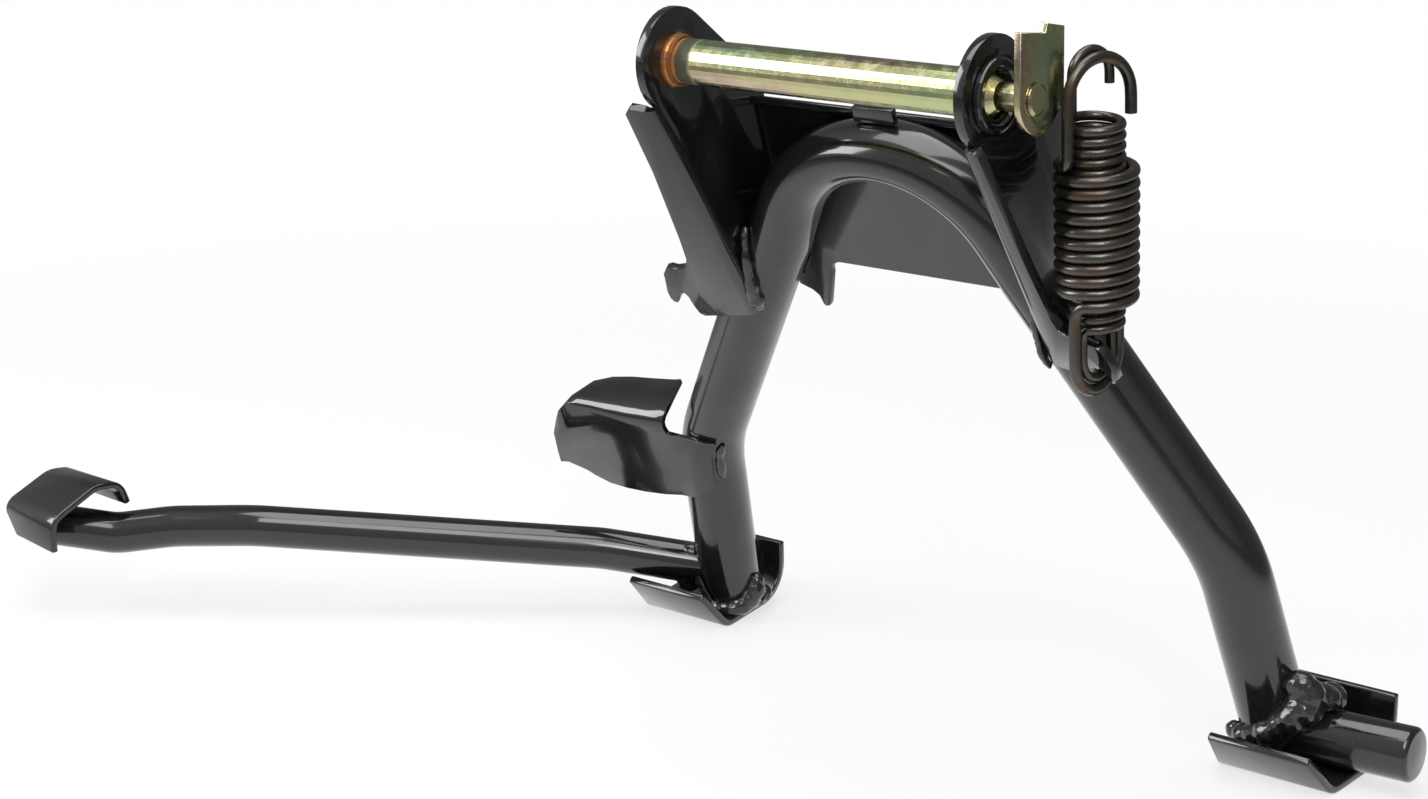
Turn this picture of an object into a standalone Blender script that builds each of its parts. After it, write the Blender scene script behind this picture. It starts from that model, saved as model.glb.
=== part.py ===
"""Motorcycle centre stand: bent tube arch, pressed cheeks, pivot shaft, paired springs, shoes and lever.

Frame: origin on the pivot shaft's axis, midway between the cheeks.
X runs along the shaft, +Y towards the rear of the deployed feet, +Z up. Metres.
"""
import math

import bmesh
import bpy
from mathutils import Matrix, Vector

# Clearance between touching pieces
GAP = 0.0003

# Pivot shaft and its seats
SHAFT_R = 0.008
SHAFT_CHAMFER = 0.001
SHAFT_LEFT = -0.0675
NECK_R = 0.0047
NECK_START = 0.0660
HEAD_R = 0.0054
HEAD_T = 0.0009
BORE_PLAY = 0.0004
LEFT_BUSH_R = 0.0095
LEFT_BUSH_PROUD = 0.0036
RIGHT_BUSH_R = 0.0125
RIGHT_BUSH_NECK = 0.0112
RIGHT_BUSH_PROUD = 0.0024
RIGHT_BUSH_RING = 0.0098

# Cheeks: pressed sheet, inner faces at +-CHEEK_X
CHEEK_X = 0.0630
CHEEK_T = 0.0035
EAR_R = 0.0186
RIGHT_EAR = (0.0009, 0.0002, 0.0193)
BEND_SETBACK = 0.0024
BEND_STEPS = 4
BEND_Y = -0.0125
BEND_Z = -0.0161
BEND_TILT = math.radians(36.0)
FLANGE_TILT = math.radians(12.0)
CHEEK_LENGTH = 0.1034
CHEEK_BACK = 0.0185

# Arch tube
TUBE_R = 0.0127
TUBE_WALL = 0.0023
TUBE_FLAT = 0.0022
TUBE_SPREAD = 0.0006
ARCH_TOP_Y = 0.0348
ARCH_TOP_Z = -0.0297
ARCH_LEAN = math.radians(20.25)
ARCH_BEND_R = 0.053
LEG_ANGLE = math.radians(30.3)
KINK_V = 0.146
KINK_R = 0.070
FOOT_SPLAY = 0.0105
FOOT_V = 0.2290

# Cross web behind the arch
WEB_T = 0.003
WEB_TOP = -0.0065
WEB_LOW = 0.0600
WEB_LIP_R = 0.0030
STOP_DROP = 0.0210

# Top tab between web and arch
TAB_W = 0.017
TAB_T = 0.003

# Keeper plate on the shaft's end
KEEPER_X = 0.0795
KEEPER_T = 0.0025

# Shoes: their line across, from the foot of the legs' axis
SHOE_T = 0.0032
SHOE_IN = 0.0117
SHOE_OUT = 0.0270
SHOE_SKEW = 0.008
SHOE_TRIM = 0.0045
SHOE_LIP = (-0.0366, 0.0104)
SHOE_LOW = (-0.0191, -0.0067)
SHOE_HEEL = (0.0214, -0.0022)
SHOE_WALL = (0.0204, 0.0213)
SHOE_LOW_R = 0.009
SHOE_HEEL_R = 0.016

# Stub peg, from the right foot
PEG_R = 0.0100
PEG_OUT = 0.0538
PEG_IN = -0.0082
PEG_AT = (-0.0046, 0.0104)
PEG_RISE = 0.03

# Lever rod: its corners from the left foot, then the pad on its end
ROD_R = 0.0087
ROD_UP_LEG = 0.0145
ROD_FRONT = (-0.0413, -0.0366, 0.0221)
ROD_KNEE = (-0.1568, -0.1256, 0.0316)
ROD_DIP = (-0.1888, -0.1416, 0.0289)
ROD_NECK = (-0.2068, -0.1571, 0.0262)
ROD_TIP = (-0.2324, -0.1762, 0.0307)
PAD_SEAT = (0.0040, 0.0030, 0.0004)
PAD_T = 0.0028
PAD_LENGTH = 0.0403
PAD_TAPER = 0.23
PAD_SWELL = 0.012
PAD_WIDTH = 0.038
PAD_HEIGHT = 0.024
PAD_YAW = math.radians(9.0)

# Side tang on the left leg
TANG_T = 0.0020

# Weld beads
BEAD_R = 0.0026

# Springs
OUTER_WIRE = 0.0040
OUTER_D = 0.0287
OUTER_PITCH = 0.0042
OUTER_TURNS = 11
INNER_WIRE = 0.0033
INNER_D = 0.0195
INNER_PITCH = 0.0035
INNER_TURNS = 20
OUTER_RISE = 0.0195
INNER_RISE = 0.0105
OUTER_HOOK = 0.1000
INNER_HOOK = 0.1018
OUTER_LOOP = 0.0136
INNER_LOOP = 0.0081
LOOP_TURN = math.radians(5.0)
HOOK_TURN = math.radians(77.0)
HOOK_ASIDE = 0.0041
SPRING_LEAN = math.radians(4.6)
LUG_S = 0.0243
LUG_U = 0.0917
LUG_PLAY = 0.0004
LOOP_STEPS = 14


def reset_scene():
    for item in list(bpy.data.objects):
        bpy.data.objects.remove(item, do_unlink=True)
    stand = bpy.data.collections.new("centre_stand")
    cutters = bpy.data.collections.new("cutters")
    bpy.context.scene.collection.children.link(stand)
    bpy.context.scene.collection.children.link(cutters)
    return stand, cutters


STAND, CUTTERS = reset_scene()


def material(name, colour, roughness, metallic):
    mat = bpy.data.materials.new(name)
    mat.use_nodes = True
    shader = mat.node_tree.nodes["Principled BSDF"]
    shader.inputs["Base Color"].default_value = (*colour, 1.0)
    shader.inputs["Roughness"].default_value = roughness
    shader.inputs["Metallic"].default_value = metallic
    return mat


BLACK = (0.012, 0.013, 0.013)
ZINC = (0.62, 0.60, 0.36)
SPRING_STEEL = (0.16, 0.14, 0.12)


def add_object(name, mesh, colour, roughness=0.25, metallic=0.0, smooth=True):
    obj = bpy.data.objects.new(name, mesh)
    STAND.objects.link(obj)
    mesh.materials.clear()
    mesh.materials.append(material(name + "_finish", colour, roughness, metallic))
    if smooth:
        mesh.shade_smooth()
        mesh.set_sharp_from_angle(angle=math.radians(35.0))
    return obj


def mesh_from(name, verts, faces):
    mesh = bpy.data.meshes.new(name)
    mesh.from_pydata([tuple(v) for v in verts], [], faces)
    mesh.validate()
    bm = bmesh.new()
    bm.from_mesh(mesh)
    bmesh.ops.remove_doubles(bm, verts=bm.verts, dist=1e-6)
    bmesh.ops.recalc_face_normals(bm, faces=bm.faces)
    bm.to_mesh(mesh)
    bm.free()
    return mesh


def evaluated_mesh(obj, name):
    """The object's evaluated mesh in world space, caps welded; the object itself is removed."""
    graph = bpy.context.evaluated_depsgraph_get()
    graph.update()
    mesh = bpy.data.meshes.new_from_object(obj.evaluated_get(graph))
    mesh.name = name
    mesh.transform(obj.matrix_world)
    bpy.data.objects.remove(obj, do_unlink=True)
    bm = bmesh.new()
    bm.from_mesh(mesh)
    bmesh.ops.remove_doubles(bm, verts=bm.verts, dist=1e-6)
    bmesh.ops.recalc_face_normals(bm, faces=bm.faces)
    bm.to_mesh(mesh)
    bm.free()
    return mesh


def wire_mesh(name, points, radius, sides_extra=2, radii=None):
    """A round bar along the points, with filled ends."""
    curve = bpy.data.curves.new(name, "CURVE")
    curve.dimensions = "3D"
    curve.bevel_depth = radius
    curve.bevel_resolution = sides_extra
    curve.use_fill_caps = True
    curve.twist_mode = "MINIMUM"
    spline = curve.splines.new("POLY")
    spline.points.add(len(points) - 1)
    for i, p in enumerate(points):
        spline.points[i].co = (p[0], p[1], p[2], 1.0)
        spline.points[i].radius = radii[i] if radii else 1.0
    obj = bpy.data.objects.new(name, curve)
    CUTTERS.objects.link(obj)
    bpy.context.view_layer.update()
    return evaluated_mesh(obj, name)


def plate_mesh(name, outline, thickness, frame, holes=()):
    """A flat sheet: the outline in the frame's XY plane, centred on it in thickness."""
    curve = bpy.data.curves.new(name, "CURVE")
    curve.dimensions = "2D"
    curve.fill_mode = "BOTH"
    curve.extrude = thickness / 2
    for loop in (outline, *holes):
        spline = curve.splines.new("POLY")
        spline.points.add(len(loop) - 1)
        for i, p in enumerate(loop):
            spline.points[i].co = (p[0], p[1], 0.0, 1.0)
        spline.use_cyclic_u = True
    obj = bpy.data.objects.new(name, curve)
    CUTTERS.objects.link(obj)
    obj.matrix_world = frame
    bpy.context.view_layer.update()
    return evaluated_mesh(obj, name)


def as_cutter(name, mesh):
    obj = bpy.data.objects.new(name, mesh)
    CUTTERS.objects.link(obj)
    obj.hide_render = True
    obj.display_type = "WIRE"
    return obj


def boolean(obj, other, operation="DIFFERENCE"):
    mod = obj.modifiers.new(operation.lower(), "BOOLEAN")
    mod.object = other
    mod.operation = operation
    mod.solver = "EXACT"


def turned_mesh(name, profile, steps, axis_frame):
    """A profile of (radius, height) pairs turned about the frame's Z axis."""
    mesh = bpy.data.meshes.new(name)
    verts = [(r, 0.0, h) for r, h in profile]
    closed = profile[0][0] > 1e-6
    count = len(verts)
    edges = [(i, i + 1) for i in range(count - 1)]
    if closed:
        edges.append((count - 1, 0))
    mesh.from_pydata(verts, edges, [])
    obj = bpy.data.objects.new(name, mesh)
    CUTTERS.objects.link(obj)
    obj.matrix_world = axis_frame
    mod = obj.modifiers.new("turn", "SCREW")
    mod.axis = "Z"
    mod.steps = steps
    mod.render_steps = steps
    mod.use_merge_vertices = True
    mod.merge_threshold = 1e-5
    bpy.context.view_layer.update()
    return evaluated_mesh(obj, name)


def fillet_path(points, radii, step):
    """Points along straight runs joined by arcs, one radius for each inner corner."""
    points = [Vector(p) for p in points]
    out = [points[0]]
    for i in range(1, len(points) - 1):
        before = (points[i - 1] - points[i]).normalized()
        after = (points[i + 1] - points[i]).normalized()
        half = before.angle(after) / 2
        reach = radii[i - 1] / math.tan(half)
        centre = points[i] + (before + after).normalized() * (radii[i - 1] / math.sin(half))
        start = points[i] + before * reach
        end = points[i] + after * reach
        u = start - centre
        w = end - centre
        sweep = u.angle(w)
        count = max(2, math.ceil(sweep / step))
        for k in range(count + 1):
            t = k / count
            out.append(centre + (u * math.sin((1 - t) * sweep) + w * math.sin(t * sweep)) / math.sin(sweep))
    out.append(points[-1])
    return out


def circle_points(cx, cy, radius, start, end, count):
    return [(cx + radius * math.cos(start + (end - start) * k / count),
             cy + radius * math.sin(start + (end - start) * k / count)) for k in range(count + 1)]


# The arch's leaning plane: x across, v down along it, n out of its back
DOWN = Vector((0.0, math.sin(ARCH_LEAN), -math.cos(ARCH_LEAN)))
BACK = Vector((0.0, math.cos(ARCH_LEAN), math.sin(ARCH_LEAN)))
ARCH_TOP = Vector((0.0, ARCH_TOP_Y, ARCH_TOP_Z))


def arch_point(x, v, n=0.0):
    return ARCH_TOP + Vector((x, 0.0, 0.0)) + DOWN * v + BACK * n


def arch_frame(n):
    """Frame whose XY plane is the arch's plane moved back by n: X across, Y down the arch."""
    origin = arch_point(0.0, 0.0, n)
    out = Vector((1.0, 0.0, 0.0)).cross(DOWN)
    return Matrix((
        (1.0, DOWN.x, out.x, origin.x),
        (0.0, DOWN.y, out.y, origin.y),
        (0.0, DOWN.z, out.z, origin.z),
        (0.0, 0.0, 0.0, 1.0),
    ))


def axis_x_frame(x=0.0, y=0.0, z=0.0):
    """Frame whose Z runs along the world's X."""
    return Matrix.Translation((x, y, z)) @ Matrix.Rotation(math.radians(90.0), 4, "Y")


# Arch tube: straight legs, a round top bend and a kink above each foot
LEG_APEX = ARCH_BEND_R - ARCH_BEND_R / math.sin(LEG_ANGLE)
KINK_X = (KINK_V - LEG_APEX) * math.tan(LEG_ANGLE)
FOOT_X = KINK_X + FOOT_SPLAY
FOOT_Y = ARCH_TOP_Y + math.sin(ARCH_LEAN) * FOOT_V
FOOT_Z = ARCH_TOP_Z - math.cos(ARCH_LEAN) * FOOT_V


def arch_path(foot_v=FOOT_V, step=math.radians(7.5)):
    corners = [
        (-FOOT_X - (foot_v - FOOT_V) * FOOT_SPLAY / (FOOT_V - KINK_V), foot_v, 0.0),
        (-KINK_X, KINK_V, 0.0),
        (0.0, LEG_APEX, 0.0),
        (KINK_X, KINK_V, 0.0),
        (FOOT_X + (foot_v - FOOT_V) * FOOT_SPLAY / (FOOT_V - KINK_V), foot_v, 0.0),
    ]
    return fillet_path(corners, (KINK_R, ARCH_BEND_R, KINK_R), step)


def leg_x(v):
    """Distance of the lower leg's axis from the middle at v."""
    return FOOT_X + (v - FOOT_V) * FOOT_SPLAY / (FOOT_V - KINK_V)


def flattening(x, v):
    """How far the press has flattened the tube here, from 0 on the legs to 1 at the top."""
    angle = math.atan2(abs(x), ARCH_BEND_R - v)
    return max(0.0, 1.0 - angle / (math.pi / 2 - LEG_ANGLE + 0.35)) ** 0.7 if v < 0.04 else 0.0


def tube_ring(point, tangent, in_plane, across, sides):
    side = Vector((-tangent.y, tangent.x, 0.0))
    ring = []
    for k in range(sides):
        a = 2 * math.pi * k / sides
        q = point + side * (in_plane * math.cos(a))
        ring.append(arch_point(q.x, q.y, across * math.sin(a)))
    return ring


def tube_loft(name, path, grow, wall, sides):
    """Tube of flattened rings along the arch's path; wall 0 gives a solid bar."""
    outer = []
    inner = []
    for i, p in enumerate(path):
        ahead = path[min(i + 1, len(path) - 1)]
        behind = path[max(i - 1, 0)]
        tangent = (ahead - behind).normalized()
        f = flattening(p.x, p.y)
        a = TUBE_R + grow - TUBE_FLAT * f
        b = TUBE_R + grow + TUBE_SPREAD * f
        outer.append(tube_ring(p, tangent, a, b, sides))
        inner.append(tube_ring(p, tangent, a - wall, b - wall, sides))
    rings = outer if wall == 0.0 else outer + inner[::-1]
    verts = [v for ring in rings for v in ring]
    faces = []
    count = len(rings)
    links = range(count - 1) if wall == 0.0 else range(count)
    for r in links:
        s = (r + 1) % count
        for k in range(sides):
            m = (k + 1) % sides
            faces.append((r * sides + k, r * sides + m, s * sides + m, s * sides + k))
    if wall == 0.0:
        faces.append(tuple(range(sides)))
        faces.append(tuple(range((count - 1) * sides, count * sides)))
    return mesh_from(name, verts, faces)


def shoe_profile(offset):
    """The trough's outer line in the YZ plane, moved inwards by offset."""
    line = fillet_path([(FOOT_Y + y, FOOT_Z + z, 0.0) for y, z in (SHOE_LIP, SHOE_LOW, SHOE_HEEL, SHOE_WALL)],
                       (SHOE_LOW_R, SHOE_HEEL_R), math.radians(12.0))
    out = []
    for i, p in enumerate(line):
        ahead = line[min(i + 1, len(line) - 1)]
        behind = line[max(i - 1, 0)]
        t = (ahead - behind).normalized()
        out.append((p.x - t.y * offset, p.y + t.x * offset))
    return out


def shoe_ends(side, y):
    """Distances of the shoe's inner and outer end from the middle; both shoes are cut on the same skew."""
    across = (y - FOOT_Y - SHOE_LIP[0]) / (SHOE_HEEL[0] - SHOE_LIP[0])
    trim = SHOE_TRIM * min(1.0, across * 2.5)
    inner = FOOT_X - SHOE_IN
    outer = FOOT_X + SHOE_OUT
    if side < 0:
        return inner, outer + trim
    return inner - trim, outer + across * SHOE_SKEW


def extrude_yz(name, loop, x0, x1):
    """A closed YZ outline carried along X."""
    frame = Matrix((
        (0.0, 0.0, 1.0, (x0 + x1) / 2),
        (1.0, 0.0, 0.0, 0.0),
        (0.0, 1.0, 0.0, 0.0),
        (0.0, 0.0, 0.0, 1.0),
    ))
    return plate_mesh(name, loop, abs(x1 - x0), frame)


def floor_cutter(name, side):
    """Everything under the shoe's inner face, for coping the tube to it."""
    inner = shoe_profile(SHOE_T + GAP)
    back = FOOT_Y + SHOE_WALL[0] + 0.03
    front = FOOT_Y + SHOE_LIP[0] - 0.03
    under = FOOT_Z - 0.045
    loop = inner + [(back, inner[-1][1]), (back, under), (front, under), (front, inner[0][1])]
    return as_cutter(name, extrude_yz(name, loop, side * (FOOT_X - 0.045), side * (FOOT_X + 0.06)))


def rod_corner_line():
    """The rod's corners, from its end behind the left leg out to the pad."""
    v = FOOT_V - ROD_UP_LEG
    at_leg = arch_point(-leg_x(v), v)
    foot = Vector((-FOOT_X, FOOT_Y, FOOT_Z))
    corners = [foot + Vector(p) for p in (ROD_FRONT, ROD_KNEE, ROD_DIP, ROD_NECK, ROD_TIP)]
    return [at_leg + Vector((0.0040, 0.0008, -0.0003)), at_leg + Vector((-0.004, -0.0008, 0.0002))] + corners


def rod_path():
    return fillet_path(rod_corner_line(), (0.020, 0.060, 0.060, 0.040, 0.030), math.radians(6.0))


def peg_ends():
    y = FOOT_Y + PEG_AT[0]
    z = FOOT_Z + PEG_AT[1]
    return Vector((FOOT_X + PEG_IN, y, z - PEG_RISE * (PEG_OUT - PEG_IN))), Vector((FOOT_X + PEG_OUT, y, z))


def build_arch():
    path = arch_path(FOOT_V + 0.02)
    obj = add_object("arch_tube", tube_loft("arch_tube", path, 0.0, TUBE_WALL, 24), BLACK, 0.22)
    rod = wire_mesh("rod_cutter", rod_path(), ROD_R + GAP, 8)
    start, end = peg_ends()
    peg = wire_mesh("peg_cutter", [start - Vector((GAP, 0, 0)), end], PEG_R + GAP, 8)
    for cutter in (as_cutter("rod_cutter", rod), as_cutter("peg_cutter", peg),
                   floor_cutter("left_floor_cutter", -1.0), floor_cutter("right_floor_cutter", 1.0)):
        boolean(obj, cutter)
    return obj


def build_rod():
    mesh = wire_mesh("lever_rod", rod_path(), ROD_R, 6)
    return add_object("lever_rod", mesh, BLACK, 0.22)


def build_peg():
    start, end = peg_ends()
    along = (end - start).normalized()
    length = (end - start).length
    dome = 0.0022
    profile = [(0.0, length), (PEG_R * 0.45, length - 0.0002), (PEG_R - dome, length - 0.0007),
               (PEG_R - dome * 0.3, length - dome * 0.55), (PEG_R, length - dome * 1.3), (PEG_R, 0.0), (0.0, 0.0)]
    frame = Matrix.Translation(start) @ along.to_track_quat("Z", "Y").to_matrix().to_4x4()
    return add_object("right_peg", turned_mesh("right_peg", profile, 28, frame), BLACK, 0.25)


def build_shoe(name, side):
    line = shoe_profile(0.0)
    columns = 4
    verts = []
    for i in range(columns + 1):
        for y, z in line:
            inner, outer = shoe_ends(side, y)
            verts.append((side * (inner + (outer - inner) * i / columns), y, z))
    faces = []
    rows = len(line)
    for i in range(columns):
        for k in range(rows - 1):
            faces.append((i * rows + k, i * rows + k + 1, (i + 1) * rows + k + 1, (i + 1) * rows + k))
    mesh = bpy.data.meshes.new(name)
    mesh.from_pydata(verts, [], faces)
    obj = add_object(name, mesh, BLACK, 0.25)
    solid = obj.modifiers.new("sheet", "SOLIDIFY")
    solid.thickness = SHOE_T
    solid.offset = 1.0 if side < 0 else -1.0
    solid.use_even_offset = True
    return obj


# Cheeks
BEND_DOWN = Vector((0.0, math.sin(BEND_TILT), -math.cos(BEND_TILT)))
BEND_FRONT = Vector((0.0, -math.cos(BEND_TILT), -math.sin(BEND_TILT)))


def bend_point(side, s, u):
    """A point on the flange's middle surface: s outwards from the bend, u down along it."""
    mid = CHEEK_X + CHEEK_T / 2
    base = Vector((side * mid, BEND_Y, BEND_Z)) + BEND_DOWN * u
    return base + Vector((side * math.cos(FLANGE_TILT), 0.0, 0.0)) * s + BEND_FRONT * (math.sin(FLANGE_TILT) * s)


LEFT_FLANGE = [
    (BEND_SETBACK, -0.0008), (0.0072, -0.0022), (0.0097, 0.0000), (0.0110, 0.0280), (0.0128, 0.0450), (0.0147, 0.0620),
    (0.0163, 0.0725), (0.0178, 0.0762), (0.0203, 0.0782), (0.0233, 0.0786), (0.0255, 0.0777), (0.0277, 0.0783),
    (0.0293, 0.0803), (0.0299, 0.0830), (0.0318, 0.0900), (0.0319, 0.0934), (0.0311, 0.0955), (0.0297, 0.0959),
    (0.0283, 0.0944), (0.0272, 0.0922), (0.0262, 0.0909), (0.0248, 0.0910), (0.0240, 0.0927), (0.0236, 0.0985),
    (0.0229, 0.1018), (0.0214, CHEEK_LENGTH), (BEND_SETBACK, CHEEK_LENGTH),
]


def right_flange():
    """The right flange is narrower above; its lug carries the spring notch on the lower edge."""
    half = OUTER_WIRE / 2 + LUG_PLAY * 2
    notch = LUG_S
    return [
        (BEND_SETBACK, -0.0006), (0.0048, -0.0014), (0.0062, 0.0000), (0.0068, 0.0221), (0.0082, 0.0528), (0.0100, 0.0747), (0.0112, 0.0785),
        (0.0138, 0.0800), (0.0265, 0.0797), (0.0287, 0.0812), (0.0300, 0.0840), (0.0312, 0.0905), (0.0310, 0.0950),
        (0.0296, 0.0968), (0.0278, 0.0962), (notch + half, 0.0940), (notch + half * 0.8, LUG_U + 0.0006),
        (notch + half * 0.4, LUG_U), (notch - half * 0.4, LUG_U), (notch - half * 0.8, LUG_U + 0.0006),
        (notch - half, 0.0940), (0.0165, 0.0975), (0.0135, 0.0990), (BEND_SETBACK, 0.1000),
    ]


def cheek_outline(y0, z0, ear_r):
    """Panel outline in YZ: from the bend's top round the ear, down the back and in to the bend's foot."""
    front_d = BEND_FRONT.y * (BEND_Y - y0) + BEND_FRONT.z * (BEND_Z - z0) - BEND_SETBACK
    front = math.atan2(BEND_FRONT.z, BEND_FRONT.y)
    start = front + math.acos(front_d / ear_r) + 2 * math.pi
    slope = math.radians(-35.0)
    ear = circle_points(y0, z0, ear_r, start, slope + math.pi / 2, 20)
    top = [Vector((y, z, 0.0)) for y, z in ear]
    run = Vector((math.cos(slope), math.sin(slope), 0.0))
    back_top = ARCH_TOP + BACK * CHEEK_BACK
    # the ear's falling edge meets the back edge, which is parallel to the arch's plane
    p = top[-1]
    down = Vector((DOWN.y, DOWN.z, 0.0))
    q = Vector((back_top.y, back_top.z, 0.0))
    det = run.x * -down.y + down.x * run.y
    r = q - p
    along = (r.x * -down.y + down.x * r.y) / det
    corner = p + run * along
    low = q + down * (WEB_LOW + 0.004)
    inner = low - Vector((BACK.y, BACK.z, 0.0)) * 0.020
    tail = fillet_path([p, corner, low, inner], (0.007, 0.004), math.radians(15.0))
    loop = top[1:-1] + tail
    start_u = (top[0].x - BEND_Y) * BEND_DOWN.y + (top[0].y - BEND_Z) * BEND_DOWN.z
    return [(v.x, v.y) for v in loop], start_u


def bend_strip(side, k):
    """Offset from the bend line of the k-th line round the bend, from panel to flange."""
    angle = (math.pi / 2 - FLANGE_TILT) * k / BEND_STEPS
    radius = BEND_SETBACK * math.tan(math.pi / 4 + FLANGE_TILT / 2)
    out = Vector((side, 0.0, 0.0))
    return BEND_FRONT * (radius * math.sin(angle) - BEND_SETBACK) + out * (radius * (1.0 - math.cos(angle)))


def cheek_sheet(name, side, flange, ear):
    """Bent sheet: side panel, rounded bend and flange in one surface, then given thickness."""
    outline, start_u = cheek_outline(*ear)
    mid = side * (CHEEK_X + CHEEK_T / 2)
    base = Vector((mid, BEND_Y, BEND_Z))
    foot = flange[-1][1]
    bm = bmesh.new()
    rows = []
    for k in range(BEND_STEPS + 1):
        top_u = start_u + (flange[0][1] - start_u) * k / BEND_STEPS
        offset = bend_strip(side, k)
        rows.append((bm.verts.new(base + offset + BEND_DOWN * top_u), bm.verts.new(base + offset + BEND_DOWN * foot)))
    for first, second in zip(rows, rows[1:]):
        bm.faces.new([first[0], first[1], second[1], second[0]])
    panel = [bm.verts.new((mid, y, z)) for y, z in outline]
    bm.faces.new([rows[0][0]] + panel + [rows[0][1]])
    edge = [bm.verts.new(bend_point(side, s, u)) for s, u in flange[1:]]
    bm.faces.new([rows[-1][0], rows[-1][1]] + edge[::-1])
    bmesh.ops.recalc_face_normals(bm, faces=bm.faces)
    mesh = bpy.data.meshes.new(name)
    bm.to_mesh(mesh)
    bm.free()
    obj = add_object(name, mesh, BLACK, 0.2)
    solid = obj.modifiers.new("sheet", "SOLIDIFY")
    solid.solidify_mode = "NON_MANIFOLD"
    solid.nonmanifold_thickness_mode = "CONSTRAINTS"
    solid.thickness = CHEEK_T
    solid.offset = 0.0
    return obj


def build_cheeks():
    tube = as_cutter("tube_cutter", tube_loft("tube_cutter", arch_path(), GAP, 0.0, 24))
    left = cheek_sheet("left_cheek", -1.0, LEFT_FLANGE, (0.0, 0.0, EAR_R))
    right = cheek_sheet("right_cheek", 1.0, right_flange(), RIGHT_EAR)
    left_hole = turned_mesh("left_hole", [(0.0, 0.02), (LEFT_BUSH_R + GAP, 0.02), (LEFT_BUSH_R + GAP, -0.02), (0.0, -0.02)],
                            28, axis_x_frame(-CHEEK_X - CHEEK_T / 2))
    right_hole = turned_mesh("right_hole", [(0.0, 0.02), (RIGHT_BUSH_NECK + GAP, 0.02), (RIGHT_BUSH_NECK + GAP, -0.02),
                                            (0.0, -0.02)], 28, axis_x_frame(CHEEK_X + CHEEK_T / 2))
    boolean(left, as_cutter("left_hole", left_hole))
    boolean(right, as_cutter("right_hole", right_hole))
    boolean(left, tube)
    boolean(right, tube)
    return left, right


def build_bushes():
    bore = SHAFT_R + BORE_PLAY
    # left: a collar through the ear with a rounded lip on the inner side
    inner = -CHEEK_X + LEFT_BUSH_PROUD
    outer = -CHEEK_X - CHEEK_T
    r = LEFT_BUSH_R
    profile = [(bore, inner), (bore + 0.0004, inner), (r - 0.0006, inner - 0.0016), (r - 0.0001, inner - 0.0023),
               (r, inner - 0.0030), (r, outer), (bore, outer)]
    left = add_object("left_bush", turned_mesh("left_bush", profile, 28, axis_x_frame()), (0.45, 0.22, 0.09), 0.55, 0.5)
    # right: a shouldered boss seated on the ear's outer face, its outer end stepped
    seat = CHEEK_X + CHEEK_T + GAP
    end = seat + RIGHT_BUSH_PROUD
    ring = RIGHT_BUSH_RING
    profile = [(bore, end - 0.0010), (ring - 0.0006, end - 0.0010), (ring, end), (RIGHT_BUSH_R - 0.0009, end),
               (RIGHT_BUSH_R - 0.0002, end - 0.0003), (RIGHT_BUSH_R, end - 0.0010), (RIGHT_BUSH_R, seat),
               (RIGHT_BUSH_NECK, seat), (RIGHT_BUSH_NECK, CHEEK_X - 0.0012), (bore, CHEEK_X - 0.0012)]
    right = add_object("right_bush", turned_mesh("right_bush", profile, 28, axis_x_frame()), BLACK, 0.25)
    return left, right


def build_shaft():
    """Turned shaft: a neck beyond the right cheek, riveted over the keeper plate."""
    c = SHAFT_CHAMFER
    under = KEEPER_X + KEEPER_T + GAP
    head = under + HEAD_T
    profile = [(0.0, head), (HEAD_R - 0.0010, head), (HEAD_R, head - 0.0005), (HEAD_R, under), (NECK_R, under),
               (NECK_R, NECK_START + SHAFT_R - NECK_R), (SHAFT_R, NECK_START), (SHAFT_R, SHAFT_LEFT + c),
               (SHAFT_R - c, SHAFT_LEFT), (0.0, SHAFT_LEFT)]
    return add_object("pivot_shaft", turned_mesh("pivot_shaft", profile, 32, axis_x_frame()), ZINC, 0.25, 0.9)


def build_keeper():
    """Stepped keeper plate: square shoulders above, a horn at one corner, a half-round below."""
    lower = circle_points(0.0030, 0.0004, 0.0124, math.radians(-172.0), math.radians(-38.0), 12)
    outline = lower + [(0.0178, -0.0030), (0.0164, 0.0217), (0.0058, 0.0235), (0.0050, 0.0204), (-0.0100, 0.0220)]
    hole = circle_points(0.0, 0.0, NECK_R + GAP, 0.0, 2 * math.pi * 27 / 28, 27)
    frame = Matrix((
        (0.0, 0.0, 1.0, KEEPER_X + KEEPER_T / 2),
        (1.0, 0.0, 0.0, 0.0),
        (0.0, 1.0, 0.0, 0.0),
        (0.0, 0.0, 0.0, 1.0),
    ))
    mesh = plate_mesh("keeper_plate", outline, KEEPER_T, frame, [hole])
    obj = add_object("keeper_plate", mesh, ZINC, 0.3, 0.9)
    edge = obj.modifiers.new("edge", "BEVEL")
    edge.width = 0.0004
    edge.segments = 1
    edge.limit_method = "ANGLE"
    edge.angle_limit = math.radians(50.0)
    return obj


def build_web():
    """Sheet behind the arch: forward lip above, rounded corner and stop tongue below on the left."""
    n = TUBE_R + TUBE_SPREAD + GAP + WEB_T / 2
    half = CHEEK_X - GAP
    tongue = WEB_LOW + STOP_DROP
    low_left = [
        (-half, WEB_LOW + 0.0125), (-0.0570, WEB_LOW + 0.0145), (-0.0545, WEB_LOW + 0.0165), (-0.0532, tongue - 0.0005),
        (-0.0520, tongue), (-0.0505, tongue - 0.0004), (-0.0498, tongue - 0.0020),
    ]
    fillet = circle_points(-0.0408, WEB_LOW + 0.0050, 0.0050, math.radians(175.0), math.radians(270.0), 6)
    head = WEB_TOP + WEB_LIP_R
    outline = [(half, head), (half, WEB_LOW)] + fillet[::-1] + low_left[::-1] + [(-half, head)]
    return outline, n, half


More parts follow.
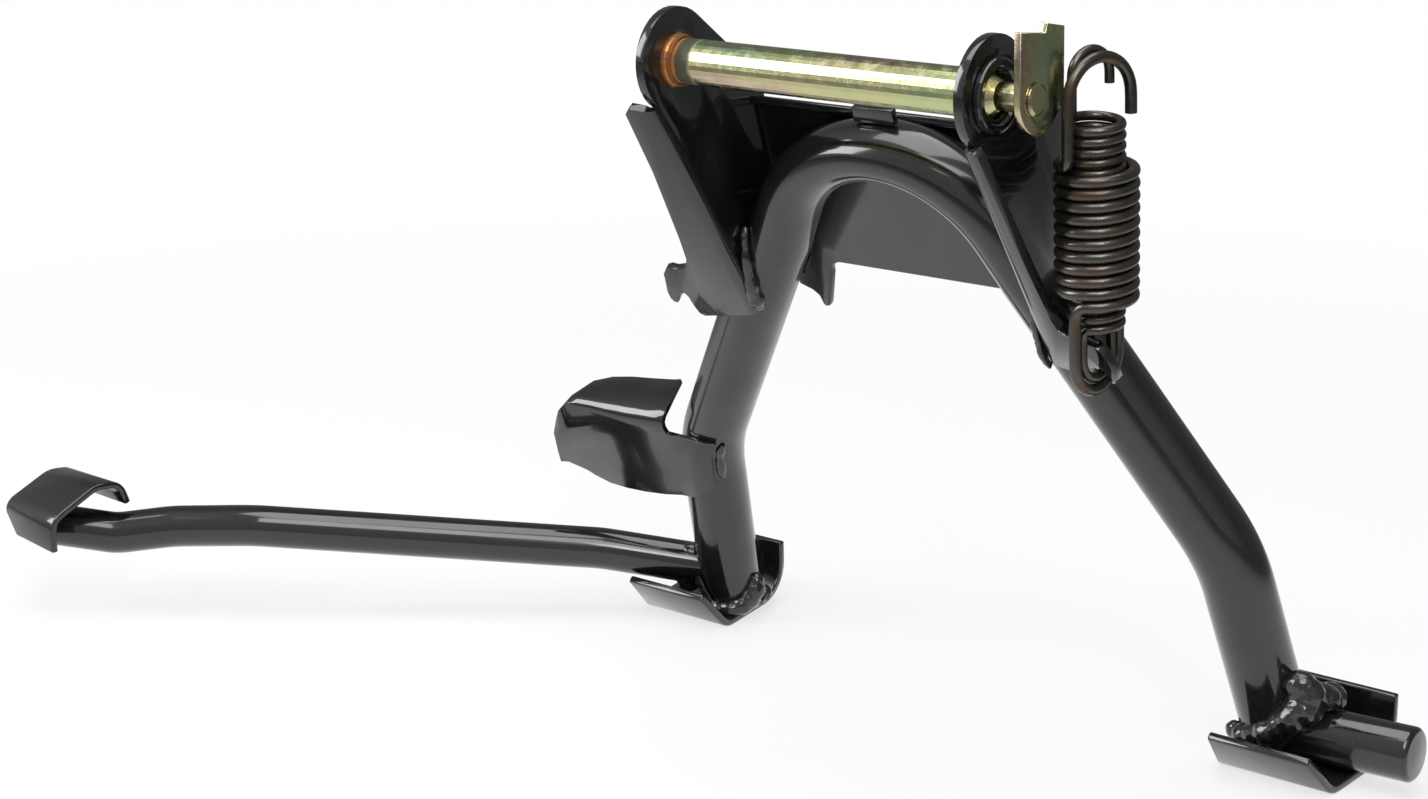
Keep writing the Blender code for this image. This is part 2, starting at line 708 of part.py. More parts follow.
def web_sheet():
    outline, n, half = build_web()
    bm = bmesh.new()
    panel = [bm.verts.new(arch_point(x, v, n)) for x, v in outline]
    bm.faces.new(panel)
    last = (panel[0], panel[-1])
    for k in range(1, 5):
        turn = math.pi / 2 * k / 4
        v = WEB_TOP + WEB_LIP_R * (1.0 - math.sin(turn))
        forward = n - WEB_LIP_R * (1.0 - math.cos(turn))
        here = (bm.verts.new(arch_point(half, v, forward)), bm.verts.new(arch_point(-half, v, forward)))
        bm.faces.new([last[0], here[0], here[1], last[1]])
        last = here
    bmesh.ops.recalc_face_normals(bm, faces=bm.faces)
    mesh = bpy.data.meshes.new("cross_web")
    bm.to_mesh(mesh)
    bm.free()
    obj = add_object("cross_web", mesh, BLACK, 0.2)
    solid = obj.modifiers.new("sheet", "SOLIDIFY")
    solid.solidify_mode = "NON_MANIFOLD"
    solid.nonmanifold_thickness_mode = "CONSTRAINTS"
    solid.thickness = WEB_T
    solid.offset = 0.0
    return obj


# Springs: both hang on the right lug, one inside the other
def lug_seat():
    """Where the wires rest in the lug's notch."""
    sag = CHEEK_T ** 2 / (4 * (INNER_D - INNER_WIRE))
    return bend_point(1.0, LUG_S, LUG_U) + BEND_DOWN * (INNER_WIRE / 2 + LUG_PLAY + sag)


def spring_frame():
    """Spring frame: Z up the axis, Y towards the back, origin at the centre of the lower loops."""
    centre = lug_seat() - BEND_DOWN * ((INNER_D - INNER_WIRE) / 2)
    return Matrix.Translation(centre) @ Matrix.Rotation(SPRING_LEAN, 4, "X") @ Matrix.Rotation(-LOOP_TURN, 4, "Z")


def spring_wire(wire, outside, pitch, turns, rise, hook_top, loop, aside, tail, end, per_turn):
    """One spring's wire in its own frame: loop below, coil, loop above set aside from the axis.

    rise is where the coil starts, hook_top the upper loop's highest centre point.
    """
    r = (outside - wire) / 2
    points = [Vector((0.0, r, tail)), Vector((0.0, r, tail * 0.5))]
    for k in range(LOOP_STEPS + 1):
        a = -math.pi * k / LOOP_STEPS
        points.append(Vector((0.0, r * math.cos(a), r * math.sin(a))))
    front = -math.pi / 2
    points.append(Vector((0.0, -r, rise * 0.5)))
    points.append(Vector((0.0, -r, rise)))
    plane = HOOK_TURN
    slip = math.asin(aside / r)
    last = plane + math.pi - slip - 2 * math.pi
    sweep = turns * 2 * math.pi + (last - front)
    steps = int(round(sweep / (2 * math.pi) * per_turn))
    for k in range(1, steps + 1):
        a = front + sweep * k / steps
        points.append(Vector((r * math.cos(a), r * math.sin(a), rise + pitch * sweep / (2 * math.pi) * k / steps)))
    top = points[-1].z
    along = Vector((math.cos(plane), math.sin(plane), 0.0))
    offset = Vector((-math.sin(plane), math.cos(plane), 0.0)) * aside
    offset += along * (loop - r * math.cos(slip))
    centre = hook_top - loop
    points.append(offset - along * loop + Vector((0.0, 0.0, top + (centre - top) * 0.4)))
    for k in range(0, 11):
        a = math.pi * (1.0 - k / 10)
        points.append(offset + along * (loop * math.cos(a)) + Vector((0.0, 0.0, centre + loop * math.sin(a))))
    points.append(offset + along * loop + Vector((0.0, 0.0, centre - end)))
    return points


def build_springs():
    frame = spring_frame()
    outer = spring_wire(OUTER_WIRE, OUTER_D, OUTER_PITCH, OUTER_TURNS, OUTER_RISE, OUTER_HOOK, OUTER_LOOP, 0.0, 0.0130,
                        0.0070, 14)
    inner = spring_wire(INNER_WIRE, INNER_D, INNER_PITCH, INNER_TURNS, INNER_RISE, INNER_HOOK, INNER_LOOP, HOOK_ASIDE,
                        0.0070, 0.0040, 12)
    # each spring's origin is on the axis that it swings about
    centre = Matrix.Translation(frame.translation)
    turn = centre.inverted() @ frame
    for name, points, wire in (("outer_spring", outer, OUTER_WIRE), ("inner_spring", inner, INNER_WIRE)):
        obj = add_object(name, wire_mesh(name, [turn @ p for p in points], wire / 2, 2), SPRING_STEEL, 0.35, 0.8)
        obj.matrix_world = centre


def sheet_object(name, grid, thickness, offset=0.0, colour=BLACK, roughness=0.22):
    """A grid of points made a sheet of even thickness."""
    verts = [tuple(p) for row in grid for p in row]
    width = len(grid[0])
    faces = []
    for i in range(len(grid) - 1):
        for k in range(width - 1):
            faces.append((i * width + k, i * width + k + 1, (i + 1) * width + k + 1, (i + 1) * width + k))
    mesh = bpy.data.meshes.new(name)
    mesh.from_pydata(verts, [], faces)
    obj = add_object(name, mesh, colour, roughness)
    solid = obj.modifiers.new("sheet", "SOLIDIFY")
    solid.thickness = thickness
    solid.offset = offset
    solid.use_even_offset = True
    return obj


def build_pad():
    """Hood over the rod's end: a strip bent to an arch and tapered to its outer end."""
    along = Vector((math.cos(PAD_YAW), -math.sin(PAD_YAW), 0.0))
    across = Vector((math.sin(PAD_YAW), math.cos(PAD_YAW), 0.0))
    lift = Vector((0.0, 0.0, 1.0))
    base = Vector((-FOOT_X, FOOT_Y, FOOT_Z)) + Vector(ROD_NECK) + Vector(PAD_SEAT)
    section = fillet_path([(-PAD_WIDTH + 0.0020, -0.0012, 0.0), (-PAD_WIDTH + 0.0024, 0.0130, 0.0),
                           (-0.0140, PAD_HEIGHT, 0.0), (-0.0016, PAD_HEIGHT - 0.0010, 0.0), (0.0018, 0.0132, 0.0)],
                          (0.008, 0.012, 0.008), math.radians(14.0))
    grid = []
    for i in range(5):
        t = i / 4
        row = []
        for p in section:
            drop = 1.0 - 0.09 * t
            swell = math.sin(min(1.0, max(0.0, p.y + 0.0012) / PAD_SWELL) * math.pi / 2)
            reach = PAD_LENGTH * (1.0 - PAD_TAPER * (1.0 - swell))
            row.append(base - along * (reach * t) + across * (p.x * (1.0 - 0.04 * t) - 0.001 * t) + lift * (p.y * drop))
        grid.append(row)
    return sheet_object("lever_pad", grid, PAD_T, -1.0)


def tang_grid():
    """Side tang: wall wrapped on the leg's front, a bead along its upper edge, a shelf running back.

    Each station holds x, the wall's foot and head, the bead's far side, and the shelf's back edge,
    all from the kink of the left leg.
    """
    face = -(TUBE_R + GAP + TANG_T / 2) + 0.0010
    tip = (-0.0608, 0.0200, -0.0135, -0.0115, -0.0140, -0.0100, -0.0142, 0.0)
    stations = [
        (-0.0751, 0.0190, 0.0140), (-0.0743, 0.0186, 0.0040), (-0.0705, 0.0180, -0.0038), (-0.0655, 0.0190, -0.0098),
    ]
    stations = [(x, low, head, face, head, face, head, 0.0) for x, low, head in stations]
    stations += [
        tip,
        (-0.0568, 0.0218, -0.0125, -0.0100, -0.0150, 0.0000, -0.0158, 0.0006),
        (-0.0493, 0.0240, -0.0112, -0.0095, -0.0152, 0.0042, -0.0166, 0.0012),
        (-0.0403, 0.0246, -0.0090, -0.0095, -0.0155, 0.0062, -0.0171, 0.0018),
        (-0.0303, 0.0242, -0.0076, -0.0095, -0.0162, 0.0072, -0.0176, 0.0023),
        (-0.0193, 0.0230, -0.0078, -0.0095, -0.0172, 0.0080, -0.0186, 0.0026),
        (-0.0098, 0.0212, -0.0090, -0.0095, -0.0180, 0.0084, -0.0192, 0.0028),
    ]
    grid = []
    for x, low, head, bead_n, bead_v, back_n, back_v, bulge in stations:
        x -= KINK_X
        low, head, bead_v, back_v = (KINK_V + v for v in (low, head, bead_v, back_v))
        row = [arch_point(x, low + (head - low) * k / 3, face) for k in range(4)]
        chord = Vector((bead_n - face, bead_v - head))
        out = Vector((chord.y, -chord.x)).normalized() if chord.length > 1e-6 else Vector((0.0, 0.0))
        for k in range(1, 5):
            t = k / 4
            rise = bulge * math.sin(math.pi * t)
            row.append(arch_point(x, head + chord.y * t + out.y * rise, face + chord.x * t + out.x * rise))
        for k in range(1, 3):
            t = k / 2
            slip = -0.006 * t if x > -KINK_X - 0.0143 else 0.0
            row.append(arch_point(x + slip, bead_v + (back_v - bead_v) * t, bead_n + (back_n - bead_n) * t))
        grid.append(row)
    return grid, face


def tang_mesh(name):
    """Wall, bead and shelf as one surface; the wall alone goes on round the leg."""
    grid, face = tang_grid()
    width = len(grid[0])
    verts = [p for row in grid for p in row]
    faces = []
    for i in range(len(grid) - 1):
        for k in range(width - 1):
            faces.append((i * width + k, i * width + k + 1, (i + 1) * width + k + 1, (i + 1) * width + k))
    wrap = TUBE_R + GAP * 1.5 + TANG_T / 2
    previous = [(len(grid) - 1) * width + k for k in range(4)]
    for i in range(6):
        turn = math.radians(-94.0 + 8.4 * i)
        low = KINK_V + 0.0202 - 0.0011 * i
        head = KINK_V - 0.0096 + 0.0004 * i
        here = []
        for k in range(4):
            v = low + (head - low) * k / 3
            here.append(len(verts))
            verts.append(arch_point(-leg_axis_x(v) + wrap * math.cos(turn), v, wrap * math.sin(turn)))
        for k in range(3):
            faces.append((previous[k], previous[k + 1], here[k + 1], here[k]))
        previous = here
    return mesh_from(name, verts, faces)


def build_tang():
    obj = add_object("side_tang", tang_mesh("side_tang"), BLACK, 0.22)
    solid = obj.modifiers.new("sheet", "SOLIDIFY")
    solid.thickness = TANG_T
    solid.offset = 0.0
    solid.use_even_offset = True
    boolean(obj, long_tube_cutter("tang_cutter"))
    return obj


def leg_axis_x(v):
    """The leg's axis from the middle at v, above or below the kink."""
    if v < KINK_V:
        return (v - LEG_APEX) * math.tan(LEG_ANGLE)
    return leg_x(v)


def build_tab():
    """Small strap standing between the web's lip and the top of the arch."""
    low = -0.0108
    outline = [(-TAB_W / 2, low), (TAB_W / 2, low), (TAB_W / 2, low - 0.006), (-TAB_W / 2, low - 0.006)]
    mesh = plate_mesh("top_tab", outline, TAB_T, arch_frame(0.0))
    return add_object("top_tab", mesh, BLACK, 0.25)


def long_tube_cutter(name):
    """The arch's outside plus the clearance, run on past the feet."""
    return as_cutter(name, tube_loft(name, arch_path(FOOT_V + 0.03), GAP, 0.0, 24))


def tube_distance(point, side):
    """How far a point lies from the leg's axis below the kink, and the direction from it."""
    rel = point - ARCH_TOP
    v = rel.dot(DOWN)
    n = rel.dot(BACK)
    slope = FOOT_SPLAY / (FOOT_V - KINK_V)
    across = (side * point.x - leg_x(v)) / math.sqrt(1.0 + slope ** 2)
    out = Vector((side * across, 0.0, 0.0)) + BACK * n
    return out.length, out.normalized()


def junction(start, along, radius, side, turns):
    """Where a round bar leaves the leg's outer side: points and their direction away from both."""
    along = along.normalized()
    u = along.cross(Vector((0.0, 0.0, 1.0))).normalized()
    w = u.cross(along)
    out = []
    for turn in turns:
        ring = u * math.sin(turn) + w * math.cos(turn)
        base = start + ring * radius
        low, high = 0.0, 0.045
        for _ in range(40):
            middle = (low + high) / 2
            if tube_distance(base + along * middle, side)[0] < TUBE_R:
                low = middle
            else:
                high = middle
        point = base + along * high
        away = (ring + tube_distance(point, side)[1]).normalized()
        out.append(point + away * BEAD_R * 0.5)
    return out


def floor_height(y):
    """Height of the shoe's inner face at y."""
    line = shoe_profile(SHOE_T)
    for (y0, z0), (y1, z1) in zip(line, line[1:]):
        if y0 <= y <= y1:
            return z0 + (z1 - z0) * (y - y0) / (y1 - y0)
    return line[-1][1]


def foot_ring(side, turns):
    """Line where the leg's outside meets the shoe's floor, lifted into the corner."""
    out = []
    for turn in turns:
        low, high = 0.17, 0.26
        for _ in range(40):
            v = (low + high) / 2
            point = arch_point(side * (leg_x(v) + TUBE_R * math.cos(turn)), v, TUBE_R * math.sin(turn))
            if point.z > floor_height(point.y):
                low = v
            else:
                high = v
        radial = Vector((side * math.cos(turn), 0.0, 0.0)) + BACK * math.sin(turn)
        out.append(point + (radial + Vector((0.0, 0.0, 1.0))).normalized() * BEAD_R * 0.5)
    return out


def largest_body(mesh):
    """Leaves the mesh's largest body and drops the slivers that a cut has freed."""
    bm = bmesh.new()
    bm.from_mesh(mesh)
    left = set(bm.faces)
    bodies = []
    while left:
        body = [left.pop()]
        for face in body:
            for e in face.edges:
                for other in e.link_faces:
                    if other in left:
                        left.remove(other)
                        body.append(other)
        bodies.append(body)
    bodies.sort(key=lambda faces: sum(f.calc_area() for f in faces))
    for body in bodies[:-1]:
        bmesh.ops.delete(bm, geom=body, context="FACES")
    bm.to_mesh(mesh)
    bm.free()
    return mesh


def bead(name, points, radius, cutters):
    """A weld bead along the points, cut back to clear the pieces that it joins."""
    radii = [1.0 + 0.12 * math.sin(2.4 * i) for i in range(len(points))]
    radii[0] = 0.6
    radii[-1] = 0.6
    blank = as_cutter(name + "_blank", wire_mesh(name, points, radius, 3, radii))
    for cutter in cutters:
        boolean(blank, cutter)
    return add_object(name, largest_body(evaluated_mesh(blank, name)), BLACK, 0.3)


def leg_contact(side, across, n, v):
    """A point beside a leg's axis above the kink: across it outwards, and n behind the plane."""
    x = leg_axis_x(v) + across * math.cos(LEG_ANGLE)
    return arch_point(side * x, v - across * math.sin(LEG_ANGLE), n)


def cheek_bead_points(side, start, count):
    """Along the corner between the leg's front and the cheek's inner face."""
    reach = TUBE_R + BEAD_R * 0.35
    wall = CHEEK_X - BEAD_R * 0.35
    out = []
    for k in range(count + 1):
        across = reach * (start - 1.15 * k / count)
        v = LEG_APEX + (wall - across * math.cos(LEG_ANGLE)) / math.tan(LEG_ANGLE)
        point = leg_contact(side, across, -math.sqrt(reach ** 2 - across ** 2), v)
        out.append(point)
    return out


def build_welds():
    tube = long_tube_cutter("weld_tube_cutter")
    rod = as_cutter("weld_rod_cutter", wire_mesh("weld_rod_cutter", rod_path(), ROD_R + GAP, 6))
    start, end = peg_ends()
    peg = as_cutter("weld_peg_cutter", wire_mesh("weld_peg_cutter", [start, end], PEG_R + GAP, 8))
    left_floor = floor_cutter("left_weld_floor", -1.0)
    right_floor = floor_cutter("right_weld_floor", 1.0)
    # right foot: round the leg's front on the shoe, then over the peg
    ring = foot_ring(1.0, [math.radians(a) for a in range(-190, -66, 12)])
    collar = junction(start, end - start, PEG_R, 1.0, [math.radians(a) for a in range(105, -120, -15)])
    bead("right_foot_weld", ring + collar, BEAD_R, (tube, peg, right_floor))
    # left foot: the same, over the rod
    ring = foot_ring(-1.0, [math.radians(a) for a in range(-190, -88, 12)])
    line = rod_corner_line()
    collar = junction(line[0], line[1] - line[0], ROD_R, -1.0, [math.radians(a) for a in range(-95, 110, 15)])
    bead("left_foot_weld", ring + collar, BEAD_R, (tube, rod, left_floor))
    walls = []
    for name, side, start in (("left_cheek_weld", -1.0, 0.75), ("right_cheek_weld", 1.0, 0.50)):
        wall_x = side * (CHEEK_X + 0.02 - GAP)
        wall = plate_mesh(name + "_wall", [(-0.1, -0.2), (0.2, -0.2), (0.2, 0.1), (-0.1, 0.1)], 0.04, Matrix((
            (0.0, 0.0, 1.0, wall_x), (1.0, 0.0, 0.0, 0.0), (0.0, 1.0, 0.0, 0.0), (0.0, 0.0, 0.0, 1.0))))
        walls.append(as_cutter(name + "_wall", wall))
        bead(name, cheek_bead_points(side, start, 8), BEAD_R * 1.1, (tube, walls[-1]))
    # left leg to the web's front face, above the stop tongue
    face = TUBE_R + TUBE_SPREAD + GAP
    slab = plate_mesh("web_face", [(-0.2, -0.1), (0.2, -0.1), (0.2, 0.2), (-0.2, 0.2)], 0.02, arch_frame(face - GAP + 0.01))
    lift = BEAD_R * 0.45
    aside = math.sqrt((TUBE_R + lift) ** 2 - (face - lift) ** 2)
    points = [leg_contact(-1.0, -aside, face - lift, 0.046 + 0.0033 * k) for k in range(9)]
    bead("stop_weld", points, BEAD_R, (tube, walls[0], as_cutter("web_face", slab)))
    # the tang's end on the leg's front
    turn = math.radians(-52.0) + (BEAD_R + GAP) / TUBE_R
    reach = TUBE_R + BEAD_R * 0.4
    points = []
    for k in range(6):
        v = KINK_V - 0.0060 + 0.0036 * k
        points.append(arch_point(-leg_axis_x(v) + reach * math.cos(turn), v, reach * math.sin(turn)))
    bead("tang_weld", points, BEAD_R * 0.9, (tube,))


build_arch()
build_rod()
build_peg()
build_shoe("left_shoe", -1.0)
build_shoe("right_shoe", 1.0)
build_pad()
build_tang()
build_cheeks()
build_bushes()
build_shaft()
build_keeper()
web_sheet()
build_tab()
build_welds()
build_springs()
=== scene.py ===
"""Motorcycle centre stand dressed for the picture: paint, plating, springs, weld metal, light and camera."""
import math

import bmesh
import bpy
from mathutils import Matrix, Vector, noise as field


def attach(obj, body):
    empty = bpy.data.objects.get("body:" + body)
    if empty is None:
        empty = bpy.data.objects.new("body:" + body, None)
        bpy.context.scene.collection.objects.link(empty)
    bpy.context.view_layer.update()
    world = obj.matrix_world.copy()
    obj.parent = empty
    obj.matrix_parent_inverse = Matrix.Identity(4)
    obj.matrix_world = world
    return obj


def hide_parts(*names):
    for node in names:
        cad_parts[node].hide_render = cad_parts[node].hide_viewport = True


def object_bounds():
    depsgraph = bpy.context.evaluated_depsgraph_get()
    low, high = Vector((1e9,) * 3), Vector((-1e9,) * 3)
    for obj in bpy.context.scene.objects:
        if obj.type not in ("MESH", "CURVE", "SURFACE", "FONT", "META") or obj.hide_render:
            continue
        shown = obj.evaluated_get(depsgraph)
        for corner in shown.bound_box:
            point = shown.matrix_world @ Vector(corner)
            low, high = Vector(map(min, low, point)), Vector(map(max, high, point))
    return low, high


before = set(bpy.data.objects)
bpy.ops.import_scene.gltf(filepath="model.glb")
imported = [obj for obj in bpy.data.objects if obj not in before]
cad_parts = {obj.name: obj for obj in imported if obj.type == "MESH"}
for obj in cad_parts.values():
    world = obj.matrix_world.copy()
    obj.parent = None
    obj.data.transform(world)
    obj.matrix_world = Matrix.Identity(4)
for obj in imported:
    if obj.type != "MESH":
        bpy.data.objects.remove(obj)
cad_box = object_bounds()


# Shader maths
class Sock:
    """A shader socket that can be added, multiplied and compared like a number."""

    def __init__(self, tree, link):
        self.tree = tree
        self.link = link

    def math(self, operation, *others, clamp=False):
        return shade(self.tree, "ShaderNodeMath", {"operation": operation, "use_clamp": clamp}, {
            i: v for i, v in enumerate((self, *others))})

    def __add__(self, other):
        return self.math("ADD", other)

    __radd__ = __add__

    def __sub__(self, other):
        return self.math("SUBTRACT", other)

    def __rsub__(self, other):
        return shade(self.tree, "ShaderNodeMath", {"operation": "SUBTRACT"}, {0: other, 1: self})

    def __mul__(self, other):
        return self.math("MULTIPLY", other)

    __rmul__ = __mul__

    def __truediv__(self, other):
        return self.math("DIVIDE", other)

    def __pow__(self, other):
        return self.math("POWER", other)

    def __gt__(self, other):
        return self.math("GREATER_THAN", other)

    def __lt__(self, other):
        return self.math("LESS_THAN", other)

    def fade(self, low, high, start=0.0, end=1.0):
        """Runs smoothly from start to end while this goes from low to high."""
        return shade(self.tree, "ShaderNodeMapRange", {"interpolation_type": "SMOOTHSTEP"}, {
            "Value": self, "From Min": low, "From Max": high, "To Min": start, "To Max": end})


def shade(tree, kind, settings=None, values=None, out=0):
    """Adds a node: its settings first, then the values or links of its sockets."""
    node = tree.nodes.new(kind)
    for key, value in (settings or {}).items():
        if key == "stops":
            ramp = node.color_ramp.elements
            while len(ramp) < len(value):
                ramp.new(0.5)
            for stop, (place, colour) in zip(ramp, value):
                stop.position = place
                stop.color = (*colour, 1.0)
        else:
            setattr(node, key, value)
    for key, value in (values or {}).items():
        if isinstance(value, Sock):
            tree.links.new(value.link, node.inputs[key])
        else:
            node.inputs[key].default_value = value
    return Sock(tree, node.outputs[out])


def new_finish(name, constants):
    """A material with its Principled shader; constants go straight on the shader's sockets."""
    mat = bpy.data.materials.new(name)
    mat.use_nodes = True
    tree = mat.node_tree
    shader = tree.nodes["Principled BSDF"]
    for key, value in constants.items():
        shader.inputs[key].default_value = value
    return mat, tree, shader


def feed(tree, shader, key, value):
    tree.links.new(value.link, shader.inputs[key])


def place(tree, scale=(1.0, 1.0, 1.0), offset=(0.0, 0.0, 0.0)):
    at = shade(tree, "ShaderNodeTexCoord", out="Object")
    return shade(tree, "ShaderNodeMapping", None, {"Vector": at, "Location": offset, "Scale": scale})


def noise(tree, where, scale, detail=2.0, rough=0.5, out="Fac"):
    return shade(tree, "ShaderNodeTexNoise", None, {
        "Vector": where, "Scale": scale, "Detail": detail, "Roughness": rough}, out=out)


def blend(tree, fac, first, second):
    """Mixes two colours; 6 and 7 are the colour sockets of the Mix node."""
    values = {"Factor": fac}
    values[6] = first if isinstance(first, Sock) else (*first, 1.0)
    values[7] = second if isinstance(second, Sock) else (*second, 1.0)
    return shade(tree, "ShaderNodeMix", {"data_type": "RGBA"}, values, out=2)


def bump(tree, height, strength, distance):
    return shade(tree, "ShaderNodeBump", None, {"Height": height, "Strength": strength, "Distance": distance})


def black_paint(name, seed=0.0, rough=0.11, grime=0.25):
    """Stove-dried gloss black with a faint orange peel, dull patches and fine dust."""
    mat, tree, shader = new_finish(name, {
        "Coat Roughness": 0.035, "Coat IOR": 1.5, "Metallic": 0.0, "IOR": 1.5})
    where = place(tree, offset=(seed, seed * 1.7, seed * 0.6))
    cloud = noise(tree, where, 38.0, 4.0, 0.55)
    dust = noise(tree, where, 900.0, 2.0, 0.6).fade(0.66, 0.74)
    peel = noise(tree, where, 420.0, 2.0, 0.4)
    tint = blend(tree, cloud.fade(0.35, 0.7), (0.0060, 0.0068, 0.0066), (0.0110, 0.0115, 0.0112))
    tint = blend(tree, dust * grime, tint, (0.075, 0.070, 0.062))
    feed(tree, shader, "Base Color", tint)
    feed(tree, shader, "Roughness", cloud.fade(0.3, 0.75, rough, rough + 0.10) + dust * 0.12)
    feed(tree, shader, "Coat Weight", cloud.fade(0.25, 0.8, 0.95, 0.6))
    feed(tree, shader, "Normal", bump(tree, peel, 0.05, 0.0003))
    return mat


def zinc_plate(name, seed):
    """Yellow-passivated zinc: straw ground with drifting green and pink, brushed roughness."""
    mat, tree, shader = new_finish(name, {"Metallic": 1.0})
    where = place(tree, offset=(seed, seed * 0.7, seed * 1.3))
    stretched = place(tree, scale=(0.35, 1.0, 1.0), offset=(seed, 0.0, 0.0))
    drift = noise(tree, stretched, 70.0, 3.0, 0.5)
    colour = shade(tree, "ShaderNodeValToRGB", {"stops": [
        (0.30, (0.56, 0.42, 0.36)), (0.42, (0.66, 0.60, 0.34)), (0.52, (0.58, 0.63, 0.32)),
        (0.62, (0.48, 0.61, 0.38)), (0.74, (0.68, 0.60, 0.46))]}, {"Fac": drift})
    rough = noise(tree, where, 260.0, 3.0, 0.6).fade(0.3, 0.8, 0.16, 0.34)
    return mat, tree, shader, where, colour, rough


def plate_finish(name, seed):
    mat, tree, shader, where, colour, rough = zinc_plate(name, seed)
    stain = noise(tree, where, 120.0, 3.0, 0.6).fade(0.60, 0.72)
    feed(tree, shader, "Base Color", blend(tree, stain * 0.55, colour, (0.20, 0.21, 0.07)))
    feed(tree, shader, "Roughness", rough)
    feed(tree, shader, "Normal", bump(tree, noise(tree, where, 700.0, 2.0), 0.08, 0.0003))
    return mat


def shaft_finish(name):
    """Zinc along the shaft; at its left end a rusty ring beside the bush and a band of dark grime."""
    mat, tree, shader, where, colour, rough = zinc_plate(name, 3.1)
    spot = shade(tree, "ShaderNodeTexCoord", out="Object")
    at = shade(tree, "ShaderNodeSeparateXYZ", None, {"Vector": spot}, out=0)
    ragged = at + (noise(tree, where, 240.0, 3.0, 0.6) - 0.5) * 0.0022
    grime = ragged.fade(-0.0530, -0.0505, 1.0, 0.0)
    rust = ragged.fade(-0.0588, -0.0575, 1.0, 0.0)
    tint = blend(tree, grime * 0.93, colour, (0.035, 0.030, 0.024))
    tint = blend(tree, rust, tint, (0.42, 0.17, 0.05))
    feed(tree, shader, "Base Color", tint)
    feed(tree, shader, "Roughness", rough + grime * 0.25)
    feed(tree, shader, "Metallic", 1.0 - grime * 0.8)
    feed(tree, shader, "Normal", bump(tree, noise(tree, where, 520.0, 3.0), 0.10, 0.0003))
    return mat


def bush_finish(name):
    """Collar stained orange-brown."""
    mat, tree, shader = new_finish(name, {"Coat Roughness": 0.2})
    where = place(tree)
    patch = noise(tree, where, 300.0, 3.0, 0.6)
    tint = blend(tree, patch.fade(0.4, 0.65), (0.42, 0.17, 0.05), (0.20, 0.09, 0.04))
    feed(tree, shader, "Base Color", tint)
    feed(tree, shader, "Metallic", patch.fade(0.3, 0.7, 0.7, 0.3))
    feed(tree, shader, "Roughness", patch.fade(0.3, 0.7, 0.30, 0.55))
    return mat


def spring_finish(name, seed):
    """Oiled spring wire, browned here and there."""
    mat, tree, shader = new_finish(name, {})
    where = place(tree, offset=(seed, seed, 0.0))
    patch = noise(tree, where, 110.0, 4.0, 0.6)
    fine = noise(tree, where, 900.0, 2.0, 0.6)
    tint = blend(tree, patch.fade(0.46, 0.66), (0.105, 0.098, 0.088), (0.105, 0.070, 0.048))
    tint = blend(tree, fine.fade(0.6, 0.75) * 0.5, tint, (0.06, 0.05, 0.04))
    feed(tree, shader, "Base Color", tint)
    feed(tree, shader, "Metallic", patch.fade(0.3, 0.8, 0.95, 0.75))
    feed(tree, shader, "Roughness", patch.fade(0.3, 0.7, 0.20, 0.33))
    feed(tree, shader, "Normal", bump(tree, fine, 0.10, 0.0002))
    return mat


def weld_finish(name, seed):
    """Painted weld metal: lumpy, with soft ripples under the black."""
    mat, tree, shader = new_finish(name, {"Coat Roughness": 0.06, "Coat Weight": 0.8})
    where = place(tree, offset=(seed, 0.0, seed))
    lump = noise(tree, where, 330.0, 3.0, 0.6)
    tint = blend(tree, lump.fade(0.4, 0.7), (0.007, 0.0075, 0.0073), (0.015, 0.015, 0.014))
    feed(tree, shader, "Base Color", tint)
    feed(tree, shader, "Roughness", lump.fade(0.3, 0.7, 0.14, 0.28))
    feed(tree, shader, "Normal", bump(tree, lump, 0.25, 0.0008))
    return mat


# Node groups for what follows a path or repeats
def new_tree(name, inputs):
    """A geometry tree with a geometry socket at each end and the named inputs."""
    tree = bpy.data.node_groups.new(name, "GeometryNodeTree")
    tree.interface.new_socket("Geometry", in_out="INPUT", socket_type="NodeSocketGeometry")
    ids = {}
    for label, kind, value in inputs:
        item = tree.interface.new_socket(label, in_out="INPUT", socket_type=kind)
        if value is not None:
            item.default_value = value
        ids[label] = item.identifier
    tree.interface.new_socket("Geometry", in_out="OUTPUT", socket_type="NodeSocketGeometry")
    entry = tree.nodes.new("NodeGroupInput")
    exit_node = tree.nodes.new("NodeGroupOutput")
    return tree, ids, entry, exit_node


def grow(tree, kind, settings=None, **links):
    node = tree.nodes.new(kind)
    for key, value in (settings or {}).items():
        setattr(node, key, value)
    for key, value in links.items():
        socket = node.inputs[key.replace("_", " ")]
        if hasattr(value, "is_output"):
            tree.links.new(value, socket)
        else:
            socket.default_value = value
    return node


def finish_tree(tree, geometry, mat, exit_node):
    real = grow(tree, "GeometryNodeRealizeInstances", Geometry=geometry)
    painted = grow(tree, "GeometryNodeSetMaterial", Geometry=real.outputs[0], Material=mat)
    tree.links.new(painted.outputs[0], exit_node.inputs[0])


def bake(name, mesh, tree, values):
    """Runs the tree on the mesh and returns a plain piece with its place in its mesh."""
    seed = bpy.data.objects.new(name + "_path", mesh)
    bpy.context.scene.collection.objects.link(seed)
    mod = seed.modifiers.new("make", "NODES")
    mod.node_group = tree
    for key, value in values.items():
        mod[key] = value
    seed.update_tag()
    graph = bpy.context.evaluated_depsgraph_get()
    graph.update()
    made = bpy.data.meshes.new_from_object(seed.evaluated_get(graph))
    seed.modifiers.remove(mod)
    bpy.data.objects.remove(seed, do_unlink=True)
    made.name = name
    piece = bpy.data.objects.new(name, made)
    bpy.context.scene.collection.objects.link(piece)
    return piece


def path_mesh(name, points):
    mesh = bpy.data.meshes.new(name)
    mesh.from_pydata([tuple(p) for p in points], [(i, i + 1) for i in range(len(points) - 1)], [])
    return mesh


